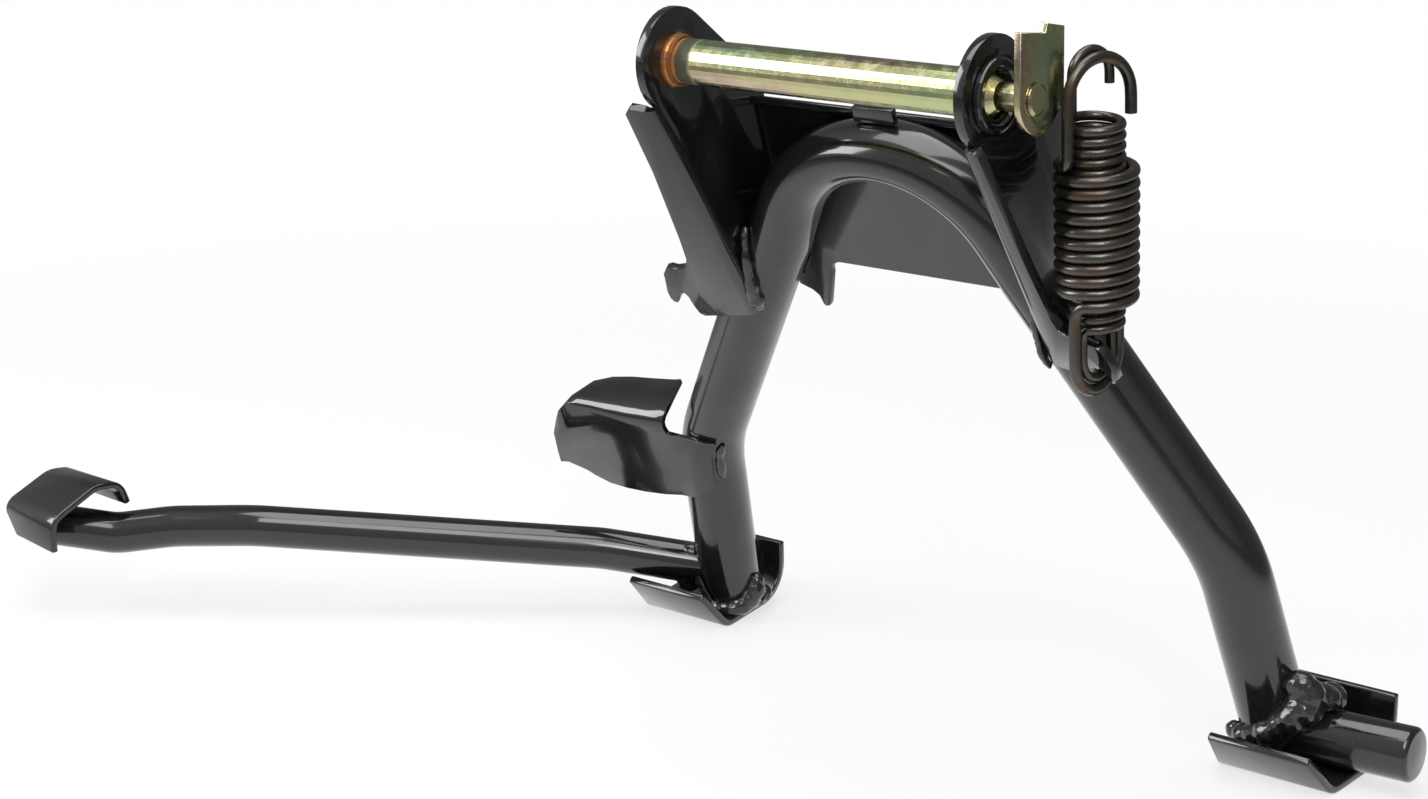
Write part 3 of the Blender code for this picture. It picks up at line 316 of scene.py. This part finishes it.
def round_wire(name, points, radius, sides, mat):
    """A round wire of the given radius along the points, with closed ends."""
    tree, ids, entry, exit_node = new_tree(name + "_winding", [
        ("Wire radius", "NodeSocketFloat", radius), ("Sides", "NodeSocketInt", sides)])
    line = grow(tree, "GeometryNodeMeshToCurve", Mesh=entry.outputs["Geometry"])
    ring = grow(tree, "GeometryNodeCurvePrimitiveCircle", Resolution=entry.outputs["Sides"],
                Radius=entry.outputs["Wire radius"])
    swept = grow(tree, "GeometryNodeCurveToMesh", Curve=line.outputs[0],
                 Profile_Curve=ring.outputs[0], Fill_Caps=True)
    smooth = grow(tree, "GeometryNodeSetShadeSmooth", Geometry=swept.outputs[0])
    finish_tree(tree, smooth.outputs[0], mat, exit_node)
    piece = bake(name, path_mesh(name, points), tree, {ids["Wire radius"]: radius, ids["Sides"]: sides})
    return tidy_piece(piece, 40.0)


def tidy_piece(piece, angle):
    """Ends and doubles closed, faces out, smooth up to the angle."""
    bm = bmesh.new()
    bm.from_mesh(piece.data)
    bmesh.ops.remove_doubles(bm, verts=bm.verts, dist=1e-6)
    bmesh.ops.recalc_face_normals(bm, faces=bm.faces)
    bm.to_mesh(piece.data)
    bm.free()
    piece.data.shade_smooth()
    piece.data.set_sharp_from_angle(angle=math.radians(angle))
    return piece


def pressed_copy(node, mat, width, segments=2, limit=38.0):
    """The node again with its sheared edges eased, as press tools and paint leave them."""
    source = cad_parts[node]
    mesh = source.data.copy()
    mesh.name = node + "_pressed"
    piece = bpy.data.objects.new(node + "_pressed", mesh)
    bpy.context.scene.collection.objects.link(piece)
    bm = bmesh.new()
    bm.from_mesh(mesh)
    bmesh.ops.remove_doubles(bm, verts=bm.verts, dist=2e-6)
    bmesh.ops.dissolve_limit(bm, angle_limit=math.radians(0.6), verts=bm.verts, edges=bm.edges)
    bm.to_mesh(mesh)
    bm.free()
    edge = piece.modifiers.new("edge", "BEVEL")
    edge.width = width
    edge.segments = segments
    edge.limit_method = "ANGLE"
    edge.angle_limit = math.radians(limit)
    edge.use_clamp_overlap = True
    edge.harden_normals = False
    graph = bpy.context.evaluated_depsgraph_get()
    graph.update()
    made = bpy.data.meshes.new_from_object(piece.evaluated_get(graph))
    piece.modifiers.clear()
    piece.data = made
    made.materials.clear()
    made.materials.append(mat)
    made.shade_smooth()
    made.set_sharp_from_angle(angle=math.radians(50.0))
    return piece


def dress(node, mat):
    """Gives a node that keeps its shape its finish."""
    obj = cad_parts[node]
    for i in range(max(1, len(obj.material_slots))):
        if not obj.material_slots:
            obj.data.materials.append(mat)
        else:
            obj.material_slots[i].material = mat


# Springs
CHEEK_X = 0.0630
CHEEK_T = 0.0035
BEND_Y = -0.0125
BEND_Z = -0.0161
BEND_TILT = math.radians(36.0)
FLANGE_TILT = math.radians(12.0)
LUG_S = 0.0243
LUG_U = 0.0917
LUG_PLAY = 0.0004
LOOP_TURN = math.radians(5.0)
HOOK_TURN = math.radians(77.0)
SPRING_LEAN = math.radians(4.6)
OUTER = {"wire": 0.0040, "outside": 0.0287, "pitch": 0.0042, "turns": 11, "rise": 0.0195, "hook_top": 0.1000,
         "loop": 0.0136, "aside": 0.0, "tail": 0.0130, "end": 0.0070}
INNER = {"wire": 0.0033, "outside": 0.0195, "pitch": 0.0035, "turns": 20, "rise": 0.0105, "hook_top": 0.1018,
         "loop": 0.0081, "aside": 0.0041, "tail": 0.0070, "end": 0.0040}


def spring_place():
    """Spring frame: Z up the axis, origin at the centre of the lower loops."""
    down = Vector((0.0, math.sin(BEND_TILT), -math.cos(BEND_TILT)))
    front = Vector((0.0, -math.cos(BEND_TILT), -math.sin(BEND_TILT)))
    lug = Vector((CHEEK_X + CHEEK_T / 2, BEND_Y, BEND_Z)) + down * LUG_U
    lug += Vector((math.cos(FLANGE_TILT), 0.0, 0.0)) * LUG_S + front * (math.sin(FLANGE_TILT) * LUG_S)
    sag = CHEEK_T ** 2 / (4 * (INNER["outside"] - INNER["wire"]))
    seat = lug + down * (INNER["wire"] / 2 + LUG_PLAY + sag)
    centre = seat - down * ((INNER["outside"] - INNER["wire"]) / 2)
    lean = Matrix.Rotation(SPRING_LEAN, 4, "X")
    return Matrix.Translation(centre) @ lean @ Matrix.Rotation(-LOOP_TURN, 4, "Z")


def spring_line(spec, per_turn):
    """One spring's wire: loop below, coil, and the loop above set aside from the axis."""
    r = (spec["outside"] - spec["wire"]) / 2
    rise, tail, loop = spec["rise"], spec["tail"], spec["loop"]
    points = [Vector((0.0, r, tail * (1.0 - k / 6))) for k in range(6)]
    for k in range(33):
        a = -math.pi * k / 32
        points.append(Vector((0.0, r * math.cos(a), r * math.sin(a))))
    points += [Vector((0.0, -r, rise * k / 6)) for k in range(1, 7)]
    front = -math.pi / 2
    slip = math.asin(spec["aside"] / r)
    last = HOOK_TURN + math.pi - slip - 2 * math.pi
    sweep = spec["turns"] * 2 * math.pi + (last - front)
    steps = int(round(sweep / (2 * math.pi) * per_turn))
    for k in range(1, steps + 1):
        a = front + sweep * k / steps
        climb = spec["pitch"] * sweep / (2 * math.pi) * k / steps
        points.append(Vector((r * math.cos(a), r * math.sin(a), rise + climb)))
    top = points[-1].z
    along = Vector((math.cos(HOOK_TURN), math.sin(HOOK_TURN), 0.0))
    offset = Vector((-math.sin(HOOK_TURN), math.cos(HOOK_TURN), 0.0)) * spec["aside"]
    offset += along * (loop - r * math.cos(slip))
    centre = spec["hook_top"] - loop
    start = points[-1].copy()
    knee = offset - along * loop + Vector((0.0, 0.0, top + (centre - top) * 0.4))
    for k in range(1, 7):
        points.append(start.lerp(knee, k / 6))
    for k in range(0, 29):
        a = math.pi * (1.0 - k / 28)
        up = Vector((0.0, 0.0, centre + loop * math.sin(a)))
        points.append(offset + along * (loop * math.cos(a)) + up)
    for k in range(1, 5):
        points.append(offset + along * loop + Vector((0.0, 0.0, centre - spec["end"] * k / 4)))
    return points


def eased(points, rounds):
    """Softens the corners of a path without moving its ends."""
    for _ in range(rounds):
        middle = [points[i] * 0.5 + (points[i - 1] + points[i + 1]) * 0.25 for i in range(1, len(points) - 1)]
        points = [points[0]] + middle + [points[-1]]
    return points


def make_springs():
    here = spring_place()
    for name, node, spec, seed in (("outer_wound_spring", "outer_spring", OUTER, 0.0),
                                   ("inner_wound_spring", "inner_spring", INNER, 5.0)):
        line = eased(spring_line(spec, 40), 3)
        mat = spring_finish(name + "_finish", seed)
        piece = round_wire(name, [here @ p for p in line], spec["wire"] / 2, 16, mat)
        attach(piece, "springs")
        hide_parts(node)


# Tube arch, lever rod and peg
TUBE_R = 0.0127
COPE_START = 0.026
COPE_PLAY = 0.0004
TUBE_WALL = 0.0023
TUBE_FLAT = 0.0022
TUBE_SPREAD = 0.0006
ARCH_LEAN = math.radians(20.25)
ARCH_BEND_R = 0.053
LEG_ANGLE = math.radians(30.3)
KINK_V = 0.146
KINK_R = 0.070
FOOT_SPLAY = 0.0105
FOOT_V = 0.2290
ARCH_TOP = Vector((0.0, 0.0348, -0.0297))
DOWN = Vector((0.0, math.sin(ARCH_LEAN), -math.cos(ARCH_LEAN)))
BACK = Vector((0.0, math.cos(ARCH_LEAN), math.sin(ARCH_LEAN)))
LEG_APEX = ARCH_BEND_R - ARCH_BEND_R / math.sin(LEG_ANGLE)
KINK_X = (KINK_V - LEG_APEX) * math.tan(LEG_ANGLE)
FOOT = Vector((KINK_X + FOOT_SPLAY, 0.0, 0.0)) + ARCH_TOP + DOWN * FOOT_V
SPLAY = FOOT_SPLAY / (FOOT_V - KINK_V)
SHOE_T = 0.0032
SHOE_LINE = [(-0.0366, 0.0104), (-0.0191, -0.0067), (0.0214, -0.0022), (0.0204, 0.0213)]
SHOE_ROUND = (0.009, 0.016)
ROD_R = 0.0087
ROD_UP_LEG = 0.0145
ROD_POINTS = [(-0.0413, -0.0366, 0.0221), (-0.1568, -0.1256, 0.0316), (-0.1888, -0.1416, 0.0289),
              (-0.2068, -0.1571, 0.0262), (-0.2324, -0.1762, 0.0307)]
ROD_ROUND = (0.020, 0.060, 0.060, 0.040, 0.030)
PEG_R = 0.0100
PEG_END = Vector((0.0538, -0.0046, 0.0104))
PEG_START = Vector((-0.0082, -0.0046, 0.0104 - 0.03 * (0.0538 + 0.0082)))


def fillet_path(points, radii, step):
    """Straight runs joined by arcs, one radius for each inner corner."""
    points = [Vector(p) for p in points]
    out = [points[0]]
    for i in range(1, len(points) - 1):
        before = (points[i - 1] - points[i]).normalized()
        after = (points[i + 1] - points[i]).normalized()
        half = before.angle(after) / 2
        centre = points[i] + (before + after).normalized() * (radii[i - 1] / math.sin(half))
        u = points[i] + before * (radii[i - 1] / math.tan(half)) - centre
        w = points[i] + after * (radii[i - 1] / math.tan(half)) - centre
        sweep = u.angle(w)
        count = max(2, math.ceil(sweep / step))
        for k in range(count + 1):
            t = k / count
            out.append(centre + (u * math.sin((1 - t) * sweep) + w * math.sin(t * sweep)) / math.sin(sweep))
    out.append(points[-1])
    return out


def spread(points, gap):
    """The same line with points no further apart than the gap."""
    out = [points[0]]
    for a, b in zip(points, points[1:]):
        count = max(1, math.ceil((b - a).length / gap))
        out += [a.lerp(b, k / count) for k in range(1, count + 1)]
    return out


def arch_point(x, v, n=0.0):
    return ARCH_TOP + Vector((x, 0.0, 0.0)) + DOWN * v + BACK * n


def leg_x(v):
    return FOOT.x + (v - FOOT_V) * SPLAY


def floor_height(y, lift):
    """Height of the shoe's inner face under y."""
    line = fillet_path([(FOOT.y + a, FOOT.z + b, 0.0) for a, b in SHOE_LINE], SHOE_ROUND, math.radians(6.0))
    best = line[0].y
    for a, b in zip(line, line[1:]):
        if a.x <= y <= b.x:
            best = a.y + (b.y - a.y) * (y - a.x) / (b.x - a.x)
            break
    return best + lift


def flattening(x, v):
    angle = math.atan2(abs(x), ARCH_BEND_R - v)
    return max(0.0, 1.0 - angle / (math.pi / 2 - LEG_ANGLE + 0.35)) ** 0.7 if v < 0.04 else 0.0


def arch_rings(path, sides, inset):
    rings = []
    for i, p in enumerate(path):
        tangent = (path[min(i + 1, len(path) - 1)] - path[max(i - 1, 0)]).normalized()
        f = flattening(p.x, p.y)
        a = TUBE_R - TUBE_FLAT * f - inset
        b = TUBE_R + TUBE_SPREAD * f - inset
        side = Vector((-tangent.y, tangent.x, 0.0))
        ring = []
        for k in range(sides):
            turn = 2 * math.pi * k / sides
            q = p + side * (a * math.cos(turn))
            ring.append((q.x, q.y, b * math.sin(turn)))
        rings.append(ring)
    return rings


def coped(ring, sign):
    """Carries a leg's end ring along the leg down to the shoe's inner face."""
    out = []
    for x, v, n in ring:
        low, high = 0.0, 0.06
        for _ in range(24):
            mid = (low + high) / 2
            q = arch_point(x + sign * SPLAY * mid, v + mid, n)
            if q.z > floor_height(q.y, SHOE_T + COPE_PLAY):
                low = mid
            else:
                high = mid
        out.append((x + sign * SPLAY * low, v + low, n))
    return out


def make_arch(mat):
    """The bent tube: flattened over the top bend, kinked above the feet and coped to the shoes."""
    top = FOOT_V - COPE_START
    corners = [(-leg_x(top), top, 0.0), (-KINK_X, KINK_V, 0.0), (0.0, LEG_APEX, 0.0), (KINK_X, KINK_V, 0.0),
               (leg_x(top), top, 0.0)]
    path = spread(fillet_path(corners, (KINK_R, ARCH_BEND_R, KINK_R), math.radians(1.8)), 0.006)
    sides = 64
    skins = []
    for inset in (0.0, TUBE_WALL):
        rings = arch_rings(path, sides, inset)
        rings = [coped(rings[0], -1.0)] + rings + [coped(rings[-1], 1.0)]
        skins.append(rings)
    rings = skins[0] + skins[1][::-1]
    verts = [arch_point(*q) for ring in rings for q in ring]
    faces = []
    for r in range(len(rings)):
        s = (r + 1) % len(rings)
        for k in range(sides):
            m = (k + 1) % sides
            faces.append((r * sides + k, r * sides + m, s * sides + m, s * sides + k))
    mesh = bpy.data.meshes.new("bent_tube")
    mesh.from_pydata([tuple(v) for v in verts], [], faces)
    mesh.materials.append(mat)
    piece = bpy.data.objects.new("bent_tube", mesh)
    bpy.context.scene.collection.objects.link(piece)
    tidy_piece(piece, 40.0)
    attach(piece, "stand")
    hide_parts("arch_tube")


def make_rod(mat):
    v = FOOT_V - ROD_UP_LEG
    at_leg = arch_point(-leg_x(v), v)
    foot = Vector((-FOOT.x, FOOT.y, FOOT.z))
    corners = [at_leg + Vector((0.0040, 0.0008, -0.0003)), at_leg + Vector((-0.004, -0.0008, 0.0002))]
    corners += [foot + Vector(p) for p in ROD_POINTS]
    line = spread(fillet_path(corners, ROD_ROUND, math.radians(2.0)), 0.008)
    piece = round_wire("bent_rod", line, ROD_R, 56, mat)
    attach(piece, "stand")
    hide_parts("lever_rod")


def make_peg(mat):
    """Round peg with its sawn end rounded over."""
    start = FOOT + PEG_START
    end = FOOT + PEG_END
    length = (end - start).length
    turn = (end - start).to_track_quat("Z", "Y").to_matrix().to_4x4()
    profile = [(0.0, 0.0), (PEG_R, 0.0), (PEG_R, length * 0.5)]
    for k in range(11):
        a = math.pi / 2 * k / 10
        profile.append((PEG_R - 0.0022 * (1.0 - math.cos(a)), length - 0.0028 + 0.0021 * math.sin(a)))
    profile += [(PEG_R * 0.45, length - 0.0002), (0.0, length)]
    sides = 56
    verts = []
    for r, h in profile:
        for k in range(sides):
            a = 2 * math.pi * k / sides
            verts.append(turn @ Vector((r * math.cos(a), r * math.sin(a), h)) + start)
    faces = []
    for row in range(len(profile) - 1):
        for k in range(sides):
            m = (k + 1) % sides
            faces.append((row * sides + k, row * sides + m, (row + 1) * sides + m, (row + 1) * sides + k))
    mesh = bpy.data.meshes.new("round_peg")
    mesh.from_pydata([tuple(v) for v in verts], [], faces)
    mesh.materials.append(mat)
    piece = bpy.data.objects.new("round_peg", mesh)
    bpy.context.scene.collection.objects.link(piece)
    tidy_piece(piece, 40.0)
    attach(piece, "stand")
    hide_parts("right_peg")


# Weld metal: the beads with the lumps and spatter that the torch left on them
WELD_GRAIN = 0.00055
WELD_SOFTENING = 24
WELD_RELIEF = 0.00022
LUMP_DETAIL = 3
# Lumps by place and radius; those round the left leg and in the left cheek's corner are found below
LUMPS = {
    "left_foot_weld": [
        (-0.1370, 0.0985, -0.2230, 0.0049), (-0.1385, 0.0985, -0.2275, 0.0056),
        (-0.1400, 0.0995, -0.2325, 0.0056), (-0.1395, 0.1010, -0.2375, 0.0049)],
    "right_foot_weld": [
        (0.1385, 0.1000, -0.2150, 0.0056), (0.1405, 0.1010, -0.2190, 0.0068),
        (0.1400, 0.1010, -0.2235, 0.0076), (0.1370, 0.1000, -0.2275, 0.0076),
        (0.1330, 0.0995, -0.2315, 0.0068), (0.1285, 0.0990, -0.2345, 0.0061),
        (0.1235, 0.0990, -0.2370, 0.0054), (0.1175, 0.1005, -0.2395, 0.0044),
        (0.1425, 0.1090, -0.2215, 0.0068), (0.1430, 0.1160, -0.2240, 0.0061),
        (0.1125, 0.1040, -0.2400, 0.0039)],
    "left_cheek_weld": [],
}
# Turn round the left leg in degrees from its inner side to its front, height above the shoe, radius
LEFT_LEG_LUMPS = [(-5, 0.0130, 0.0036), (5, 0.0085, 0.0048), (18, 0.0050, 0.0052), (36, 0.0025, 0.0050),
                  (56, 0.0015, 0.0046), (78, 0.0012, 0.0040), (-30, 0.0020, 0.0046)]
# Distance down the arch and radius
CORNER_LUMPS = [(0.0375, 0.0026), (0.0410, 0.0030), (0.0445, 0.0024), (0.0480, 0.0032), (0.0520, 0.0028),
                (0.0560, 0.0032), (0.0600, 0.0036), (0.0640, 0.0034), (0.0675, 0.0028)]
# Drops on the shoes' floors: x, y and radius
SPATTER = {
    "left_foot_weld": [(-0.1210, 0.0880, 0.0009), (-0.1180, 0.0850, 0.0007), (-0.1460, 0.0900, 0.0008),
                       (-0.1170, 0.0910, 0.0006)],
    "right_foot_weld": [(0.1190, 0.0870, 0.0010), (0.1235, 0.0900, 0.0008), (0.1320, 0.0850, 0.0010),
                        (0.1270, 0.0905, 0.0007), (0.1450, 0.0880, 0.0009)],
}


def leg_lumps():
    spots = []
    for turn, up, size in LEFT_LEG_LUMPS:
        across = TUBE_R * math.cos(math.radians(turn))
        n = -TUBE_R * math.sin(math.radians(turn))
        top = FOOT_V - COPE_START
        x, v, n = coped([(-leg_x(top) + across, top, n)], -1.0)[0]
        spots.append((*arch_point(x + SPLAY * up, v - up, n), size))
    return spots


def corner_lumps():
    """Lumps where the left cheek's inner face meets the front of the tube."""
    spots = []
    for v, size in CORNER_LUMPS:
        axis_x = (v - LEG_APEX) * math.tan(LEG_ANGLE)
        n = -math.sqrt(max(0.0, TUBE_R ** 2 - ((axis_x - CHEEK_X) * math.cos(LEG_ANGLE)) ** 2))
        spots.append((*arch_point(-CHEEK_X, v, n), size))
    return spots


def lump_heap(name, spots, seed, mat):
    """One lump of weld metal at each spot, each a little different."""
    mesh = path_mesh(name + "_spots", [Vector(s[:3]) for s in spots])
    size = mesh.attributes.new("size", "FLOAT", "POINT")
    size.data.foreach_set("value", [s[3] for s in spots])
    tree, ids, entry, exit_node = new_tree(name + "_heap", [
        ("Lump detail", "NodeSocketInt", LUMP_DETAIL), ("Seed", "NodeSocketInt", seed)])
    ball = grow(tree, "GeometryNodeMeshIcoSphere", Radius=1.0, Subdivisions=entry.outputs["Lump detail"])
    points = grow(tree, "GeometryNodeMeshToPoints", Mesh=entry.outputs["Geometry"])
    sized = grow(tree, "GeometryNodeInputNamedAttribute", {"data_type": "FLOAT"}, Name="size")
    vary = grow(tree, "FunctionNodeRandomValue", {"data_type": "FLOAT_VECTOR"}, Seed=entry.outputs["Seed"])
    vary.inputs[0].default_value = (0.85, 0.85, 0.75)
    vary.inputs[1].default_value = (1.2, 1.2, 1.1)
    scale = tree.nodes.new("ShaderNodeVectorMath")
    scale.operation = "SCALE"
    tree.links.new(vary.outputs[0], scale.inputs[0])
    tree.links.new(sized.outputs[0], scale.inputs["Scale"])
    laid = grow(tree, "GeometryNodeInstanceOnPoints", Points=points.outputs[0], Instance=ball.outputs[0],
                Scale=scale.outputs[0])
    finish_tree(tree, laid.outputs[0], mat, exit_node)
    return bake(name + "_lumps", mesh, tree, {ids["Lump detail"]: LUMP_DETAIL, ids["Seed"]: seed})


def make_weld(node, mat, seed):
    """The bead in one lumpy skin with its heaps, roughened, with stray drops beside it."""
    bm = bmesh.new()
    bm.from_mesh(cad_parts[node].data)
    bmesh.ops.remove_doubles(bm, verts=bm.verts, dist=2e-6)
    if node in LUMPS:
        found = {"left_foot_weld": leg_lumps, "left_cheek_weld": corner_lumps}
        spots = LUMPS[node] + (found[node]() if node in found else [])
        heap = lump_heap(node, spots, seed, mat)
        bm.from_mesh(heap.data)
        bpy.data.objects.remove(heap, do_unlink=True)
    mesh = bpy.data.meshes.new(node + "_metal")
    bm.to_mesh(mesh)
    bm.free()
    piece = bpy.data.objects.new(node + "_metal", mesh)
    bpy.context.scene.collection.objects.link(piece)
    skin = piece.modifiers.new("skin", "REMESH")
    skin.mode = "VOXEL"
    skin.voxel_size = WELD_GRAIN
    soft = piece.modifiers.new("soft", "SMOOTH")
    soft.factor = 0.5
    soft.iterations = WELD_SOFTENING
    graph = bpy.context.evaluated_depsgraph_get()
    graph.update()
    made = bpy.data.meshes.new_from_object(piece.evaluated_get(graph))
    piece.modifiers.clear()
    bm = bmesh.new()
    bm.from_mesh(made)
    bm.normal_update()
    shift = Vector((seed * 3.1, seed * 1.7, 0.0))
    moves = []
    for v in bm.verts:
        height = field.noise(v.co * 420.0 + shift) + 0.5 * field.noise(v.co * 900.0 + shift)
        moves.append(v.normal * height * WELD_RELIEF)
    for v, move in zip(bm.verts, moves):
        v.co += move
    bm.to_mesh(made)
    bm.free()
    if node in SPATTER:
        spots = [(x, y, floor_height(y, SHOE_T * 1.1 + r * 0.3), r) for x, y, r in SPATTER[node]]
        drops = lump_heap(node + "_drops", spots, seed + 3, mat)
        bm = bmesh.new()
        bm.from_mesh(made)
        bm.from_mesh(drops.data)
        bm.to_mesh(made)
        bm.free()
        bpy.data.objects.remove(drops, do_unlink=True)
    piece.data = made
    made.materials.clear()
    made.materials.append(mat)
    tidy_piece(piece, 70.0)
    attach(piece, "stand")
    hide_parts(node)


WELDS = ["left_foot_weld", "right_foot_weld", "stop_weld", "tang_weld", "left_cheek_weld", "right_cheek_weld"]


def make_welds():
    for k, node in enumerate(WELDS):
        mat = weld_finish(node + "_paint", 1.0 + k)
        make_weld(node, mat, k)


# Pressed sheets: node, width of the eased edge, and where its paint pattern starts
PRESSED = [
    ("left_cheek", 0.0008, 0.0), ("right_cheek", 0.0008, 2.0), ("cross_web", 0.0007, 4.0),
    ("left_shoe", 0.0008, 6.0), ("right_shoe", 0.0008, 8.0), ("lever_pad", 0.0008, 10.0),
    ("side_tang", 0.0005, 12.0), ("top_tab", 0.0005, 14.0)]


def make_pressings():
    for node, width, seed in PRESSED:
        piece = pressed_copy(node, black_paint(node + "_paint", seed), width)
        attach(piece, "stand")
        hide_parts(node)
    plate = pressed_copy("keeper_plate", plate_finish("keeper_zinc", 1.0), 0.0003)
    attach(plate, "pivot")
    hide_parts("keeper_plate")


def dress_nodes():
    make_arch(black_paint("tube_paint", 20.0))
    make_rod(black_paint("rod_paint", 24.0))
    make_peg(black_paint("peg_paint", 28.0))
    make_welds()
    dress("right_bush", black_paint("bush_paint", 32.0))
    dress("left_bush", bush_finish("bush_stain"))
    dress("pivot_shaft", shaft_finish("shaft_zinc"))


# Camera, light and floor
def make_camera():
    data = bpy.data.cameras.new("photo_camera")
    data.sensor_width = 36.0
    data.lens = 64.3
    data.clip_start = 0.01
    camera = bpy.data.objects.new("photo_camera", data)
    bpy.context.scene.collection.objects.link(camera)
    right = Vector((0.7859, 0.6184, 0.0))
    look = Vector((-0.5957, 0.7571, -0.2682)).normalized()
    up = right.cross(look).normalized()
    right = look.cross(up).normalized()
    camera.matrix_world = Matrix((
        (right.x, up.x, -look.x, 0.4962),
        (right.y, up.y, -look.y, -0.6901),
        (right.z, up.z, -look.z, 0.1244),
        (0.0, 0.0, 0.0, 1.0),
    ))
    bpy.context.scene.camera = camera


def make_lamp(name, at, target, size, power, tall=None):
    data = bpy.data.lights.new(name, "AREA")
    data.shape = "RECTANGLE"
    data.size = size
    data.size_y = tall or size
    data.energy = power
    lamp = bpy.data.objects.new(name, data)
    bpy.context.scene.collection.objects.link(lamp)
    lamp.location = at
    lamp.rotation_euler = (Vector(target) - Vector(at)).to_track_quat("-Z", "Y").to_euler()


def make_studio():
    make_lamp("overhead_softbox", (-0.15, 0.10, 1.25), (0.0, 0.05, -0.1), 1.3, 10.0, 0.9)
    make_lamp("left_softbox", (-1.1, -0.9, 0.6), (0.0, 0.0, -0.1), 0.7, 14.0, 1.0)
    make_lamp("front_softbox", (0.9, -1.0, 0.9), (0.0, 0.0, -0.1), 0.35, 3.0, 0.35)
    make_lamp("high_front_softbox", (0.5, -0.75, 1.15), (0.0, 0.0, -0.1), 1.1, 9.0, 0.7)
    world = bpy.data.worlds.new("studio")
    bpy.context.scene.world = world
    world.use_nodes = True
    tree = world.node_tree
    tree.nodes.clear()
    at = shade(tree, "ShaderNodeTexCoord", out="Generated")
    height = shade(tree, "ShaderNodeSeparateXYZ", None, {"Vector": at}, out=2)
    room = shade(tree, "ShaderNodeValToRGB", {"stops": [
        (0.0, (0.25, 0.26, 0.26)), (0.48, (0.45, 0.47, 0.47)),
        (0.60, (0.42, 0.44, 0.44)), (1.0, (0.58, 0.60, 0.60))]},
        {"Fac": height * 0.5 + 0.5})
    depth = shade(tree, "ShaderNodeSeparateXYZ", None, {"Vector": at}, out=1)
    room = blend(tree, depth.fade(-0.35, 0.35), room, (0.15, 0.155, 0.155))
    seen = shade(tree, "ShaderNodeLightPath", out="Is Camera Ray")
    colour = blend(tree, seen, room, (1.0, 1.0, 1.0))
    sky = shade(tree, "ShaderNodeBackground", None, {"Color": colour, "Strength": 1.0})
    last = tree.nodes.new("ShaderNodeOutputWorld")
    tree.links.new(sky.link, last.inputs["Surface"])


def make_floor(low):
    mesh = bpy.data.meshes.new("floor")
    mesh.from_pydata([(-6, -6, low), (6, -6, low), (6, 6, low), (-6, 6, low)], [], [(0, 1, 2, 3)])
    floor = bpy.data.objects.new("floor", mesh)
    bpy.context.scene.collection.objects.link(floor)
    mat, tree, shader = new_finish("floor_paper", {"Base Color": (0.86, 0.86, 0.86, 1.0), "Roughness": 0.9})
    seen = shade(tree, "ShaderNodeLightPath", out="Is Camera Ray")
    mirrored = shade(tree, "ShaderNodeLightPath", out="Is Glossy Ray")
    away = shade(tree, "ShaderNodeVectorMath", {"operation": "LENGTH"}, {
        0: place(tree, offset=(0.02, -0.02, 0.0), scale=(1.0, 1.0, 0.0))}, out=1)
    # Painted reflection: glossy rays alone see the floor glow as a pool of light, near white round the stand
    # and fading to dark grey farther out.
    glossy_glow_pool = blend(tree, away.fade(0.20, 0.85), (0.85, 0.85, 0.84), (0.10, 0.10, 0.10))
    colour = blend(tree, mirrored, (1.0, 1.0, 1.0), glossy_glow_pool)
    glow = shade(tree, "ShaderNodeEmission", None, {"Color": colour, "Strength": 1.0})
    body = Sock(tree, shader.outputs["BSDF"])
    lit = seen * away.fade(0.30, 1.10, 0.72, 1.0) + mirrored * 0.9
    mixed = shade(tree, "ShaderNodeMixShader", None, {0: lit, 1: body, 2: glow})
    tree.links.new(mixed.link, tree.nodes["Material Output"].inputs["Surface"])
    mesh.materials.append(mat)


make_springs()
make_pressings()
dress_nodes()
make_camera()
make_studio()
make_floor(cad_box[0][2])
bpy.context.scene.view_settings.view_transform = "Standard"
